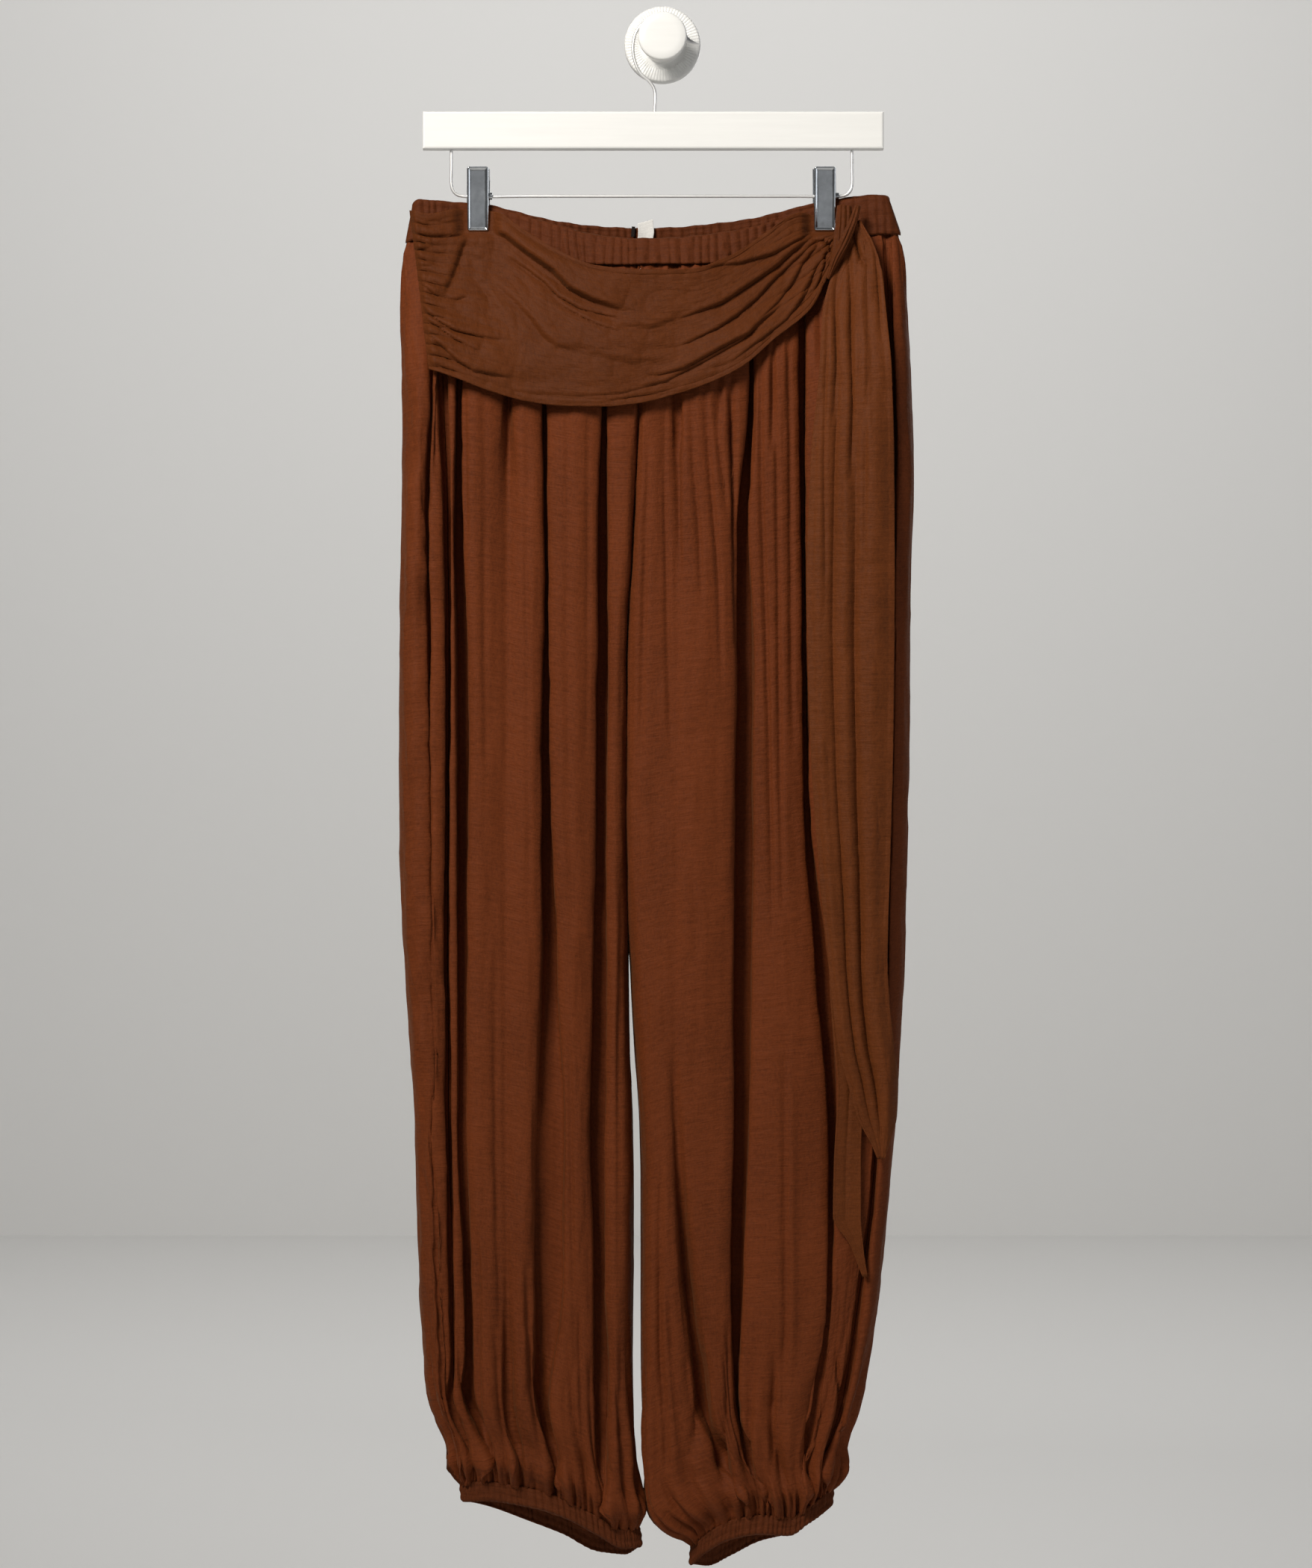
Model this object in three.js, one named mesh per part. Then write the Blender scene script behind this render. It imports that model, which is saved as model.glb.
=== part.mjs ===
// Balloon pants hanging from a clip hanger on a wall knob.
// Millimetres, +Z up. The wall is the plane y = 0, the garment's front faces -Y,
// and the origin is the centre of the knob's back face.
import * as THREE from "three";

// Driving sizes
const CLOTH = 1.4;            // wall of every cloth piece
const SEAM = 0.4;             // gap left between two pieces at a seam
const MID = -33;              // plane between the garment's front and back
const FULL_FRONT = 31;        // front crests stand this far in front of MID
const FULL_BACK = 24;         // back crests stand this far behind MID
const FULL_Z = -262;          // below the waist seam the cloth fills out down to here
const LIP = 4.5;              // rounding drop at both lips of a fold
const CUFF_HEIGHT = 15.5;
const CUFF_BLEND = 78;        // the legs run into the cuffs over this height
const BAND_HEIGHT = 29;
const PINCH_FRONT = -34.7;    // outer faces of the waistband where the clips pinch it
const PINCH_BACK = -31.4;
const RAIL_Y = -34;           // plane of the hanger
const RAIL_Z = -122;
const CLIP_LEFT = -142.3;
const CLIP_RIGHT = 125.2;
const WIRE_R = 1.25;

const CLOTH_COLOUR = 0x62331c;
const SASH_COLOUR = 0x6b3a1d;
const CHROME = 0xb9bec2;
const PAINT = 0xf6f6f3;

const clamp = (v, lo, hi) => Math.min(hi, Math.max(lo, v));
const mix = (a, b, t) => a + (b - a) * t;
const smooth = (a, b, v) => {
  const t = clamp((v - a) / (b - a), 0, 1);
  return t * t * (3 - 2 * t);
};

// Smooth curve through the rows of a table, column "to" over column "from", that
// never swings past its rows.
function along(rows, from, to, value) {
  const rising = rows[rows.length - 1][from] > rows[0][from];
  const key = (i) => (rising ? rows[i][from] : -rows[i][from]);
  const v = rising ? value : -value;
  const last = rows.length - 1;
  if (v <= key(0)) return rows[0][to];
  if (v >= key(last)) return rows[last][to];
  let i = 0;
  while (v > key(i + 1)) i += 1;
  const rise = (k) => (rows[k + 1][to] - rows[k][to]) / (key(k + 1) - key(k));
  const slope = (k) => {
    if (k === 0) return rise(0);
    if (k === last) return rise(last - 1);
    const a = rise(k - 1);
    const b = rise(k);
    return a * b <= 0 ? 0 : 2 * a * b / (a + b);
  };
  const h = key(i + 1) - key(i);
  const t = (v - key(i)) / h;
  const t2 = t * t;
  const t3 = t2 * t;
  return (2 * t3 - 3 * t2 + 1) * rows[i][to] + (t3 - 2 * t2 + t) * h * slope(i)
    + (3 * t2 - 2 * t3) * rows[i + 1][to] + (t3 - t2) * h * slope(i + 1);
}

// The garment's outline seen from the front, and the radius of its side turn.
const OUTLINE = [
  { z: -123, left: -193.5, right: 175.5, turn: 7 },
  { z: -155, left: -198.8, right: 184.4, turn: 8 },
  { z: -201, left: -202.4, right: 189.6, turn: 13 },
  { z: -248, left: -200.6, right: 191.3, turn: 14 },
  { z: -340, left: -200.0, right: 194.0, turn: 14 },
  { z: -409, left: -201.7, right: 192.2, turn: 14 },
  { z: -547, left: -203.4, right: 190.8, turn: 14 },
  { z: -639, left: -202.9, right: 188.5, turn: 14 },
  { z: -732, left: -198.2, right: 185.6, turn: 13 },
  { z: -824, left: -192.5, right: 181.0, turn: 12 },
  { z: -916, left: -189.0, right: 173.5, turn: 11 },
  { z: -985, left: -186.1, right: 166.6, turn: 11 },
  { z: -1031, left: -182.7, right: 156.8, turn: 10 },
  { z: -1077, left: -172.3, right: 147.0, turn: 9 },
  { z: -1100, left: -164.2, right: 141.8, turn: 8 },
  { z: -1124, left: -157.3, right: 134.9, turn: 8 },
  { z: -1175, left: -150.0, right: 128.0, turn: 8 },
];

// Centre seam down to the crotch, then the inner edge of each leg. The front and
// back columns give how far the seam lies in front of and behind MID.
const INNER = [
  { z: -140, left: -17.3, right: -17.3, front: 24, back: 17, turn: 5 },
  { z: -265, left: -17.3, right: -17.3, front: 21, back: 15, turn: 6 },
  { z: -374, left: -21.9, right: -21.9, front: 18, back: 14, turn: 7 },
  { z: -490, left: -27.7, right: -27.7, front: 15, back: 12, turn: 8 },
  { z: -605, left: -28.2, right: -28.2, front: 9, back: 8, turn: 9 },
  { z: -714, left: -25.9, right: -25.5, front: 0.4, back: 0.4, turn: 10 },
  { z: -778, left: -25.0, right: -22.3, front: 0.4, back: 0.4, turn: 11 },
  { z: -835, left: -22.7, right: -18.4, front: 0.4, back: 0.4, turn: 12 },
  { z: -893, left: -21.8, right: -17.3, front: 0.4, back: 0.4, turn: 13 },
  { z: -1008, left: -22.5, right: -17.3, front: 0.4, back: 0.4, turn: 13 },
  { z: -1095, left: -21.3, right: -14.8, front: 0.4, back: 0.4, turn: 14 },
  { z: -1175, left: -16.5, right: -9.0, front: 0.4, back: 0.4, turn: 14 },
];

// Heights at which the fold tables below give a fold's place, width and depth.
const LEVELS = [-150, -265, -380, -495, -610, -725, -840, -955, -1050, -1110, -1175];

// Folds that run down the cloth: place x, width and depth at each level.
const FOLDS = {
  leftSeam: {
    x: [-172, -168.9, -164.8, -164.2, -164.2, -164.8, -164.2, -161.5, -161.5, -150, -146],
    wide: [2, 3.4, 2.4, 1.8, 1.8, 1.8, 1.8, 1.8, 1.8, 1.8, 1.8],
    deep: [2, 13, 14, 14, 14, 13, 12, 11, 8, 4, 2],
  },
  leftStrip: {
    x: [-182, -176, -179, -179.8, -177.9, -176.9, -175.8, -172.8, -169.5, -154.5, -148],
    wide: [2, 2.6, 2.6, 3, 3, 3, 3, 3, 3, 3, 3],
    deep: [0, 9, 11, 10, 4, 1, 1, 2, 2, 1, 0],
  },
  leftOuter: {
    x: [-155, -156.2, -155.9, -153.9, -153.6, -153.9, -153.3, -149.5, -147.5, -139, -130],
    wide: [5, 5, 6.3, 8.2, 7.5, 6.9, 6, 5.4, 7.5, 5.5, 5],
    deep: [3, 17, 19, 19, 18, 14, 11, 15, 16, 9, 4],
  },
  leftSoft: {
    x: [-118, -118.1, -118.7, -119.3, -119.3, -119.9, -120.4, -119.3, -118.1, -114.7, -108],
    wide: [6, 6, 16, 18, 18, 16, 16, 12, 9, 8, 6],
    deep: [2, 11, 4, 3.5, 3, 3, 4, 4, 6, 6, 4],
  },
  leftMiddle: {
    x: [-91, -91.1, -89.3, -89.3, -88.8, -86.4, -86.4, -87, -90.5, -84, -78],
    wide: [3.5, 3.8, 4, 5.6, 7, 11, 19, 19, 8, 4, 4],
    deep: [3, 16, 18, 18, 18, 17, 12, 12, 13, 11, 4],
  },
  leftInner: {
    x: [-44, -44.4, -45.5, -46.7, -47.8, -48.4, -49.6, -48.4, -46.7, -45, -40],
    wide: [5, 5.2, 8.1, 8.6, 7.5, 9.2, 9.8, 8.6, 10.4, 7.5, 5],
    deep: [3, 17, 18, 19, 18, 18, 18, 17, 17, 12, 5],
  },
  rightInner: {
    x: [9.2, 9.2, 9.8, 9.8, 9.8, 9.2, 10.4, 19, 31.1, 43.2, 52],
    wide: [5, 5, 6, 6, 6, 6, 6, 6.5, 7.5, 8, 6],
    deep: [2, 5, 2, 1, 1, 1, 3, 14, 15, 12, 5],
  },
  rightMiddle: {
    x: [68, 68.6, 62.2, 62.8, 62.2, 61.1, 60.5, 57.1, 58.2, 65.5, 74],
    wide: [4.6, 4.6, 8.1, 10.9, 11.5, 11.5, 9.8, 8.6, 5.4, 5.2, 5],
    deep: [3, 16, 18, 18, 19, 18, 18, 17, 14, 10, 4],
  },
  rightOuter: {
    x: [107, 107.2, 107.8, 108.9, 111.8, 123.3, 130.2, 128.5, 118, 104, 98],
    wide: [5, 5.8, 4.2, 3.4, 4.6, 8.6, 6.3, 4, 3.4, 3.5, 4],
    deep: [3, 15, 15, 14, 15, 15, 14, 7, 5, 5, 3],
  },
  rightSeam: {
    x: [172, 175.5, 176.3, 175.5, 174, 170, 165.5, 153, 138, 126, 116],
    wide: [2, 2.6, 2.6, 2.4, 2, 1.8, 1.8, 1.8, 1.8, 1.8, 1.8],
    deep: [2, 9, 10, 10, 9, 8, 8, 7, 6, 4, 2],
  },
  leftBack1: {
    x: [-46, -47, -49, -51, -50, -48, -47, -49, -51, -47, -42],
    wide: [9, 12, 14, 13, 12, 13, 14, 13, 12, 10, 8],
    deep: [2, 7, 9, 10, 9, 10, 9, 9, 8, 5, 2],
  },
  leftBack2: {
    x: [-82, -83, -86, -87, -85, -84, -86, -88, -87, -80, -76],
    wide: [9, 12, 13, 14, 13, 12, 13, 14, 12, 10, 8],
    deep: [2, 9, 8, 9, 10, 9, 10, 8, 9, 6, 2],
  },
  leftBack3: {
    x: [-118, -120, -123, -122, -120, -121, -123, -122, -119, -112, -104],
    wide: [9, 13, 12, 13, 14, 13, 12, 13, 12, 10, 8],
    deep: [2, 8, 10, 9, 8, 10, 9, 8, 8, 6, 2],
  },
  leftBack4: {
    x: [-154, -157, -159, -160, -158, -156, -154, -152, -149, -138, -130],
    wide: [9, 12, 13, 12, 13, 12, 13, 12, 10, 8, 8],
    deep: [2, 9, 9, 10, 9, 8, 9, 9, 7, 5, 2],
  },
  rightBack1: {
    x: [16, 14, 11, 9, 10, 12, 14, 16, 19, 26, 40],
    wide: [9, 12, 13, 12, 13, 12, 13, 12, 12, 10, 8],
    deep: [2, 8, 9, 10, 9, 8, 10, 9, 8, 5, 2],
  },
  rightBack2: {
    x: [54, 52, 49, 48, 50, 51, 50, 49, 50, 56, 64],
    wide: [9, 13, 12, 13, 12, 13, 12, 13, 12, 10, 8],
    deep: [2, 9, 10, 9, 8, 9, 9, 10, 8, 6, 2],
  },
  rightBack3: {
    x: [92, 91, 88, 87, 88, 89, 87, 83, 81, 84, 86],
    wide: [9, 12, 13, 12, 13, 12, 13, 12, 11, 10, 8],
    deep: [2, 8, 9, 10, 9, 10, 8, 9, 8, 5, 2],
  },
  rightBack4: {
    x: [134, 136, 137, 136, 134, 132, 129, 122, 115, 110, 106],
    wide: [9, 12, 12, 13, 12, 13, 12, 12, 10, 9, 8],
    deep: [2, 9, 10, 9, 10, 9, 9, 8, 7, 5, 2],
  },
};

function foldAt(name, z) {
  const fold = FOLDS[name];
  const rows = LEVELS.map((level, i) => ({
    z: level, x: fold.x[i], wide: fold.wide[i], deep: fold.deep[i],
  }));
  return {
    x: along(rows, "z", "x", z),
    half: along(rows, "z", "wide", z) / 2,
    deep: Math.max(0, along(rows, "z", "deep", z)),
  };
}

// Waistband: top and bottom line of the front and back, left end to right end.
// frontY and backY are the outer faces' places at the top edge; belly is how much
// further out the lower edge hangs. The clips pinch it flat at x = -142 and x = 125.
const WAIST = [
  { x: -199, front: -128.5, back: -127.5, frontY: -36, backY: -30, belly: 0.5 },
  { x: -186, front: -126, back: -124.9, frontY: -39, backY: -28, belly: 1 },
  { x: -165, front: -127.8, back: -126.6, frontY: -37, backY: -29, belly: 0.6 },
  { x: -152, front: -128.8, back: -127.8, frontY: PINCH_FRONT, backY: PINCH_BACK, belly: 0 },
  { x: -133, front: -131.2, back: -129.5, frontY: PINCH_FRONT, backY: PINCH_BACK, belly: 0 },
  { x: -119, front: -135.1, back: -132.8, frontY: -36.5, backY: -29, belly: 1 },
  { x: -79, front: -146.7, back: -140.9, frontY: -43, backY: -20, belly: 5 },
  { x: -50, front: -154.2, back: -143.8, frontY: -47, backY: -15, belly: 8 },
  { x: -21, front: -157.0, back: -144.9, frontY: -49, backY: -13, belly: 9 },
  { x: 8, front: -156.5, back: -144.4, frontY: -49, backY: -13, belly: 9 },
  { x: 36, front: -153.6, back: -142.1, frontY: -47, backY: -15, belly: 8 },
  { x: 65, front: -148.4, back: -139.2, frontY: -43, backY: -20, belly: 5 },
  { x: 100, front: -138.0, back: -132.0, frontY: -37, backY: -28, belly: 1.5 },
  { x: 116, front: -131.5, back: -128.4, frontY: PINCH_FRONT, backY: PINCH_BACK, belly: 0 },
  { x: 134, front: -127.0, back: -125.3, frontY: PINCH_FRONT, backY: PINCH_BACK, belly: 0 },
  { x: 152, front: -124.4, back: -121.9, frontY: -37.5, backY: -28, belly: 0.8 },
  { x: 170, front: -122.6, back: -120.8, frontY: -39, backY: -26, belly: 1 },
  { x: 185, front: -122.4, back: -120.7, frontY: -37, backY: -28, belly: 0.5 },
];

// How long the visible drop of the waistband is: it leans out at the middle.
function bandDrop(x) {
  return BAND_HEIGHT - 9 * Math.exp(-(((x + 8) / 75) ** 2));
}
const bandTop = (x, side) => along(WAIST, "x", side, x);
function bandFoot(x, side) {
  const drop = side === "front" ? bandDrop(x) : BAND_HEIGHT;
  return bandTop(x, side) - drop;
}
function bandFaceY(x, side, v) {
  const belly = along(WAIST, "x", "belly", x) * v;
  if (side === "front") return along(WAIST, "x", "frontY", x) - belly;
  return along(WAIST, "x", "backY", x) + belly * 0.35;
}

// Crest surface of the cloth's front and back at a place and height, before folds.
function frontCrest(x, z) {
  const waist = bandFaceY(x, "front", 1);
  const lower = 1 - 0.14 * smooth(-900, -1110, z);
  const wave = 1.6 * Math.sin(x / 31 + z / 260) + 1.1 * Math.sin(x / 17 - z / 190);
  const full = MID - FULL_FRONT * lower + wave;
  return mix(waist, full, smooth(bandFoot(x, "front"), FULL_Z, z));
}
function backCrest(x, z) {
  const waist = bandFaceY(x, "back", 1);
  const wave = 1.2 * Math.sin(x / 27 - z / 230);
  const full = MID + FULL_BACK + wave - 3 * smooth(-900, -1110, z);
  return mix(waist, full, smooth(bandFoot(x, "back"), FULL_Z, z));
}

// Closed solid from a grid of outer points: rows run down, columns run across.
// The inner face is the outer one moved by the wall along the grid's normals, kept
// level unless the piece is tilted. edges gives the wall's way in X at both side edges.
function shell(name, grid, options) {
  const { wall = CLOTH, ring = false, inward, edges, tilted = false } = options;
  const rows = grid.length;
  const cols = grid[0].length;
  const at = (r, c) => grid[r][ring ? (c + cols) % cols : clamp(c, 0, cols - 1)];
  const inner = grid.map((row, r) => row.map((p, c) => {
    const before = p.clone().sub(at(r, c - 1));
    const after = at(r, c + 1).clone().sub(p);
    if (before.lengthSq() < 1e-9) before.copy(after);
    if (after.lengthSq() < 1e-9) after.copy(before);
    before.normalize();
    after.normalize();
    const across = before.clone().add(after).normalize();
    const down = grid[Math.min(rows - 1, r + 1)][c].clone().sub(grid[Math.max(0, r - 1)][c]);
    if (edges && (c === 0 || c === cols - 1)) {
      return p.clone().add(new THREE.Vector3(edges[c === 0 ? 0 : 1] * wall, 0, 0));
    }
    const normal = across.clone().cross(down);
    if (!tilted) normal.z = 0;
    normal.normalize();
    const spread = Math.min(1.6, 1 / Math.max(0.3, across.dot(before)));
    return p.clone().addScaledVector(normal, inward * wall * spread);
  }));
  const points = [...grid.flat(), ...inner.flat()];
  const id = (layer, r, c) => layer * rows * cols + r * cols + (c % cols);
  const faces = [];
  const quad = (a, b, c, d) => faces.push([a, b, c], [a, c, d]);
  const spans = ring ? cols : cols - 1;
  for (let r = 0; r < rows - 1; r += 1) {
    for (let c = 0; c < spans; c += 1) {
      quad(id(0, r, c), id(0, r + 1, c), id(0, r + 1, c + 1), id(0, r, c + 1));
      quad(id(1, r, c), id(1, r, c + 1), id(1, r + 1, c + 1), id(1, r + 1, c));
    }
    if (!ring) {
      quad(id(0, r, 0), id(1, r, 0), id(1, r + 1, 0), id(0, r + 1, 0));
      const e = cols - 1;
      quad(id(0, r, e), id(0, r + 1, e), id(1, r + 1, e), id(1, r, e));
    }
  }
  for (let c = 0; c < spans; c += 1) {
    const e = rows - 1;
    quad(id(0, 0, c), id(0, 0, c + 1), id(1, 0, c + 1), id(1, 0, c));
    quad(id(0, e, c), id(1, e, c), id(1, e, c + 1), id(0, e, c + 1));
  }
  return solid(name, points, faces, options.material);
}

// Mesh from points and triangles, turned so that its faces point out.
function solid(name, points, faces, material) {
  const cross = new THREE.Vector3();
  const volume = faces.reduce((sum, [a, b, c]) =>
    sum + cross.crossVectors(points[b], points[c]).dot(points[a]), 0);
  const order = volume < 0 ? faces.map(([a, b, c]) => [a, c, b]) : faces;
  const geometry = new THREE.BufferGeometry();
  const flat = new Float32Array(points.flatMap((p) => [p.x, p.y, p.z]));
  geometry.setAttribute("position", new THREE.BufferAttribute(flat, 3));
  geometry.setIndex(order.flat());
  geometry.computeVertexNormals();
  const mesh = new THREE.Mesh(geometry, material);
  mesh.name = name;
  return mesh;
}

const cloth = new THREE.MeshStandardMaterial({ color: CLOTH_COLOUR, roughness: 0.8, metalness: 0 });
const sashCloth = new THREE.MeshStandardMaterial({ color: SASH_COLOUR, roughness: 0.75, metalness: 0 });
const label = new THREE.MeshStandardMaterial({ color: 0xe8e6e2, roughness: 0.7, metalness: 0 });
const darkLabel = new THREE.MeshStandardMaterial({ color: 0x1a1412, roughness: 0.7, metalness: 0 });
const chrome = new THREE.MeshStandardMaterial({ color: CHROME, roughness: 0.15, metalness: 1 });
const paint = new THREE.MeshStandardMaterial({ color: PAINT, roughness: 0.35, metalness: 0 });

// A leg panel's section is a row of stations across the cloth. Each gives a
// function of height that returns the place x, the face's y and the side.
const LIP_POINTS = [
  { side: -1, level: 0 }, { side: -0.5, level: 0.55 }, { side: 0, level: 1 },
  { side: 0.5, level: 0.55 }, { side: 1, level: 0 },
];
const SOFT_POINTS = [{ side: -1, level: 0 }, { side: 0, level: 1 }, { side: 1, level: 0 }];

// Sash and fold depth never bring the front closer than this to MID.
const DEEPEST = 9;

function foldPoint(name, face, point, z) {
  const fold = foldAt(name, z);
  const x = fold.x + point.side * fold.half;
  const lip = Math.min(LIP, fold.deep * 0.3);
  const sink = lip + point.level * Math.max(0, fold.deep - lip);
  if (face === "front") {
    return { x, y: Math.min(frontCrest(x, z) + sink, MID - DEEPEST * smooth(-150, -265, z) - 2), face };
  }
  return { x, y: Math.max(backCrest(x, z) - sink, MID + 7), face };
}

const foldStations = (name, face, points) =>
  points.map((point) => (z) => foldPoint(name, face, point, z));

// Rounded crest between two places, left and right, each given by its height.
function crestStations(left, right, face, shares) {
  return shares.map((share) => (z) => {
    const a = left(z);
    const b = right(z);
    const x = mix(a.x, b.x, share);
    const drop = Math.abs(2 * share - 1) ** 3;
    const sag = share < 0.5 ? a.lip : b.lip;
    const crest = face === "front" ? frontCrest(x, z) : backCrest(x, z);
    return { x, y: crest + (face === "front" ? 1 : -1) * drop * sag, face };
  });
}
function lipOf(name, side) {
  return (z) => {
    const fold = foldAt(name, z);
    return { x: fold.x + side * fold.half, lip: Math.min(LIP, fold.deep * 0.3) };
  };
}

const leg = (side) => (side === "left" ? -1 : 1);
const innerX = (side, z) => along(INNER, "z", side, z) + leg(side) * SEAM * 0.5;
const outerX = (side, z) => along(OUTLINE, "z", side, z);

// Turn of a panel into the centre seam, or round the inside of the leg.
function innerStations(side, face, angles) {
  return angles.map((angle) => (z) => {
    const r = along(INNER, "z", "turn", z);
    const x = innerX(side, z) + leg(side) * r * (1 - Math.cos(angle));
    const xFull = innerX(side, z) + leg(side) * r;
    const edge = along(INNER, "z", face, z);
    if (face === "front") {
      const crest = frontCrest(xFull, z) + 1;
      return { x, y: mix(Math.max(MID - edge, crest), crest, Math.sin(angle)), face };
    }
    const crest = backCrest(xFull, z) - 1;
    return { x, y: mix(Math.min(MID + edge, crest), crest, Math.sin(angle)), face };
  });
}
// Turn of the back panel round the outside of the leg, from back to front.
function outerStations(side, angles) {
  return angles.map((angle) => (z) => {
    const r = along(OUTLINE, "z", "turn", z);
    const xFull = outerX(side, z) - leg(side) * r;
    const x = xFull + leg(side) * r * Math.cos(angle);
    const front = angle >= 0;
    const reach = front ? frontCrest(xFull, z) : backCrest(xFull, z);
    return { x, y: MID + (reach - MID) * Math.abs(Math.sin(angle)), face: front ? "front" : "back" };
  });
}
// One side of a side seam's valley: the panel's edge, its wall and its lip.
function seamStations(name, toward) {
  const points = [{ side: 0, level: 1 }, { side: 0.45, level: 0.6 }, { side: 1, level: 0 }];
  return points.map((point) => (z) => {
    const fold = foldAt(name, z);
    const x = fold.x + toward * (point.side * fold.half + SEAM * 0.5);
    const lip = Math.min(LIP, fold.deep * 0.3);
    const sink = lip + point.level * Math.max(0, fold.deep - lip);
    const crest = frontCrest(x, z) + sink;
    return { x, y: Math.min(crest, MID - 3), face: "front" };
  });
}

// Cuffs: an elastic ring each. line gives the upper seam line of the front and back,
// seam the gap left above it.
const CUFFS = {
  left: {
    x: -87.1, half: 69.7, deep: 15, seam: 0.9,
    line: [
      { x: -156.8, front: -1114.9, back: -1114.9 },
      { x: -136.6, front: -1113.1, back: -1120.6 },
      { x: -107.8, front: -1116.6, back: -1131.5 },
      { x: -79.0, front: -1124.6, back: -1142.5 },
      { x: -50.1, front: -1139.6, back: -1156.0 },
      { x: -30.0, front: -1150.0, back: -1157.5 },
      { x: -17.4, front: -1150.0, back: -1150.0 },
    ],
  },
  right: {
    x: 77.2, half: 55.3, deep: 19, seam: 2.6,
    line: [
      { x: 21.9, front: -1164.0, back: -1164.0 },
      { x: 36.0, front: -1151.0, back: -1167.0 },
      { x: 53.6, front: -1141.5, back: -1160.0 },
      { x: 76.6, front: -1137.5, back: -1149.0 },
      { x: 99.0, front: -1138.5, back: -1143.0 },
      { x: 115.0, front: -1129.5, back: -1133.0 },
      { x: 132.5, front: -1118.5, back: -1118.5 },
    ],
  },
};
function cuffPoint(side, cosine, face) {
  const cuff = CUFFS[side];
  const x = cuff.x + cuff.half * cosine;
  const sine = Math.sqrt(Math.max(0, 1 - Math.abs(cosine) ** 2.4));
  const y = MID + (face === "front" ? -1 : 1) * mix(SEAM, cuff.deep, sine);
  return new THREE.Vector3(x, y, along(cuff.line, "x", face, x));
}

// Rows of a leg panel, as shares of its height from the waist seam to the cuff.
const FRONT_ROWS = [
  0, 0.03, 0.07, 0.115, 0.165, 0.22, 0.28, 0.34, 0.4, 0.46, 0.52, 0.58, 0.64,
  0.7, 0.76, 0.82, 0.87, 0.91, 0.94, 0.965, 0.985, 1,
];
const BACK_ROWS = [
  0, 0.04, 0.095, 0.165, 0.25, 0.34, 0.43, 0.52, 0.61, 0.7, 0.76, 0.82, 0.87, 0.91, 0.94, 0.965, 0.985, 1,
];

function legPanel(name, side, shares, walls, stations) {
  const grid = shares.map((share) => stations.map((station) => {
    let z = mix(LEVELS[0], LEVELS[LEVELS.length - 1], share);
    let place = station(z);
    let foot = null;
    for (let pass = 0; pass < 4; pass += 1) {
      const xOut = outerX(side, z);
      const xIn = innerX(side, z);
      const centre = (xOut + xIn) / 2;
      const cosine = clamp((place.x - centre) / Math.abs(xOut - xIn) * 2, -1, 1);
      foot = cuffPoint(side, cosine, place.face);
      foot.z += CUFFS[side].seam;
      const head = bandFoot(place.x, place.face) - SEAM;
      z = mix(head, foot.z, share);
      place = station(z);
    }
    const gather = smooth(foot.z + CUFF_BLEND, foot.z, z) ** 1.6;
    return new THREE.Vector3(mix(place.x, foot.x, gather), mix(place.y, foot.y, gather), z);
  }));
  return shell(name, grid, { ...walls, material: cloth });
}

const MORE = [0.3, 0.7];
const quarter = Math.PI / 2;

const leftFront = [
  ...seamStations("leftSeam", 1),
  ...foldStations("leftOuter", "front", LIP_POINTS),
  ...crestStations(lipOf("leftOuter", 1), lipOf("leftSoft", -1), "front", MORE),
  ...foldStations("leftSoft", "front", SOFT_POINTS),
  ...crestStations(lipOf("leftSoft", 1), lipOf("leftMiddle", -1), "front", [0.5]),
  ...foldStations("leftMiddle", "front", LIP_POINTS),
  ...crestStations(lipOf("leftMiddle", 1), lipOf("leftInner", -1), "front", MORE),
  ...foldStations("leftInner", "front", LIP_POINTS),
  ...innerStations("left", "front", [quarter, quarter * 0.62, quarter * 0.3, 0]),
];
const rightFront = [
  ...innerStations("right", "front", [0, quarter * 0.3, quarter * 0.62, quarter]),
  ...foldStations("rightInner", "front", LIP_POINTS),
  ...crestStations(lipOf("rightInner", 1), lipOf("rightMiddle", -1), "front", [0.2, 0.5, 0.8]),
  ...foldStations("rightMiddle", "front", LIP_POINTS),
  ...crestStations(lipOf("rightMiddle", 1), lipOf("rightOuter", -1), "front", MORE),
  ...foldStations("rightOuter", "front", LIP_POINTS),
  ...crestStations(lipOf("rightOuter", 1), lipOf("rightSeam", -1), "front", MORE),
  ...seamStations("rightSeam", -1).reverse(),
];
const TURN = [-quarter, -quarter * 0.62, -quarter * 0.3, 0, quarter * 0.3, quarter * 0.62, quarter];
const leftBack = [
  ...innerStations("left", "back", [0, quarter * 0.4, quarter]),
  ...foldStations("leftBack1", "back", SOFT_POINTS).reverse(),
  ...crestStations(lipOf("leftBack1", -1), lipOf("leftBack2", 1), "back", [0.5]),
  ...foldStations("leftBack2", "back", SOFT_POINTS).reverse(),
  ...crestStations(lipOf("leftBack2", -1), lipOf("leftBack3", 1), "back", [0.5]),
  ...foldStations("leftBack3", "back", SOFT_POINTS).reverse(),
  ...crestStations(lipOf("leftBack3", -1), lipOf("leftBack4", 1), "back", [0.5]),
  ...foldStations("leftBack4", "back", SOFT_POINTS).reverse(),
  ...outerStations("left", TURN),
  ...foldStations("leftStrip", "front", SOFT_POINTS),
  ...seamStations("leftSeam", -1).reverse(),
];
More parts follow.
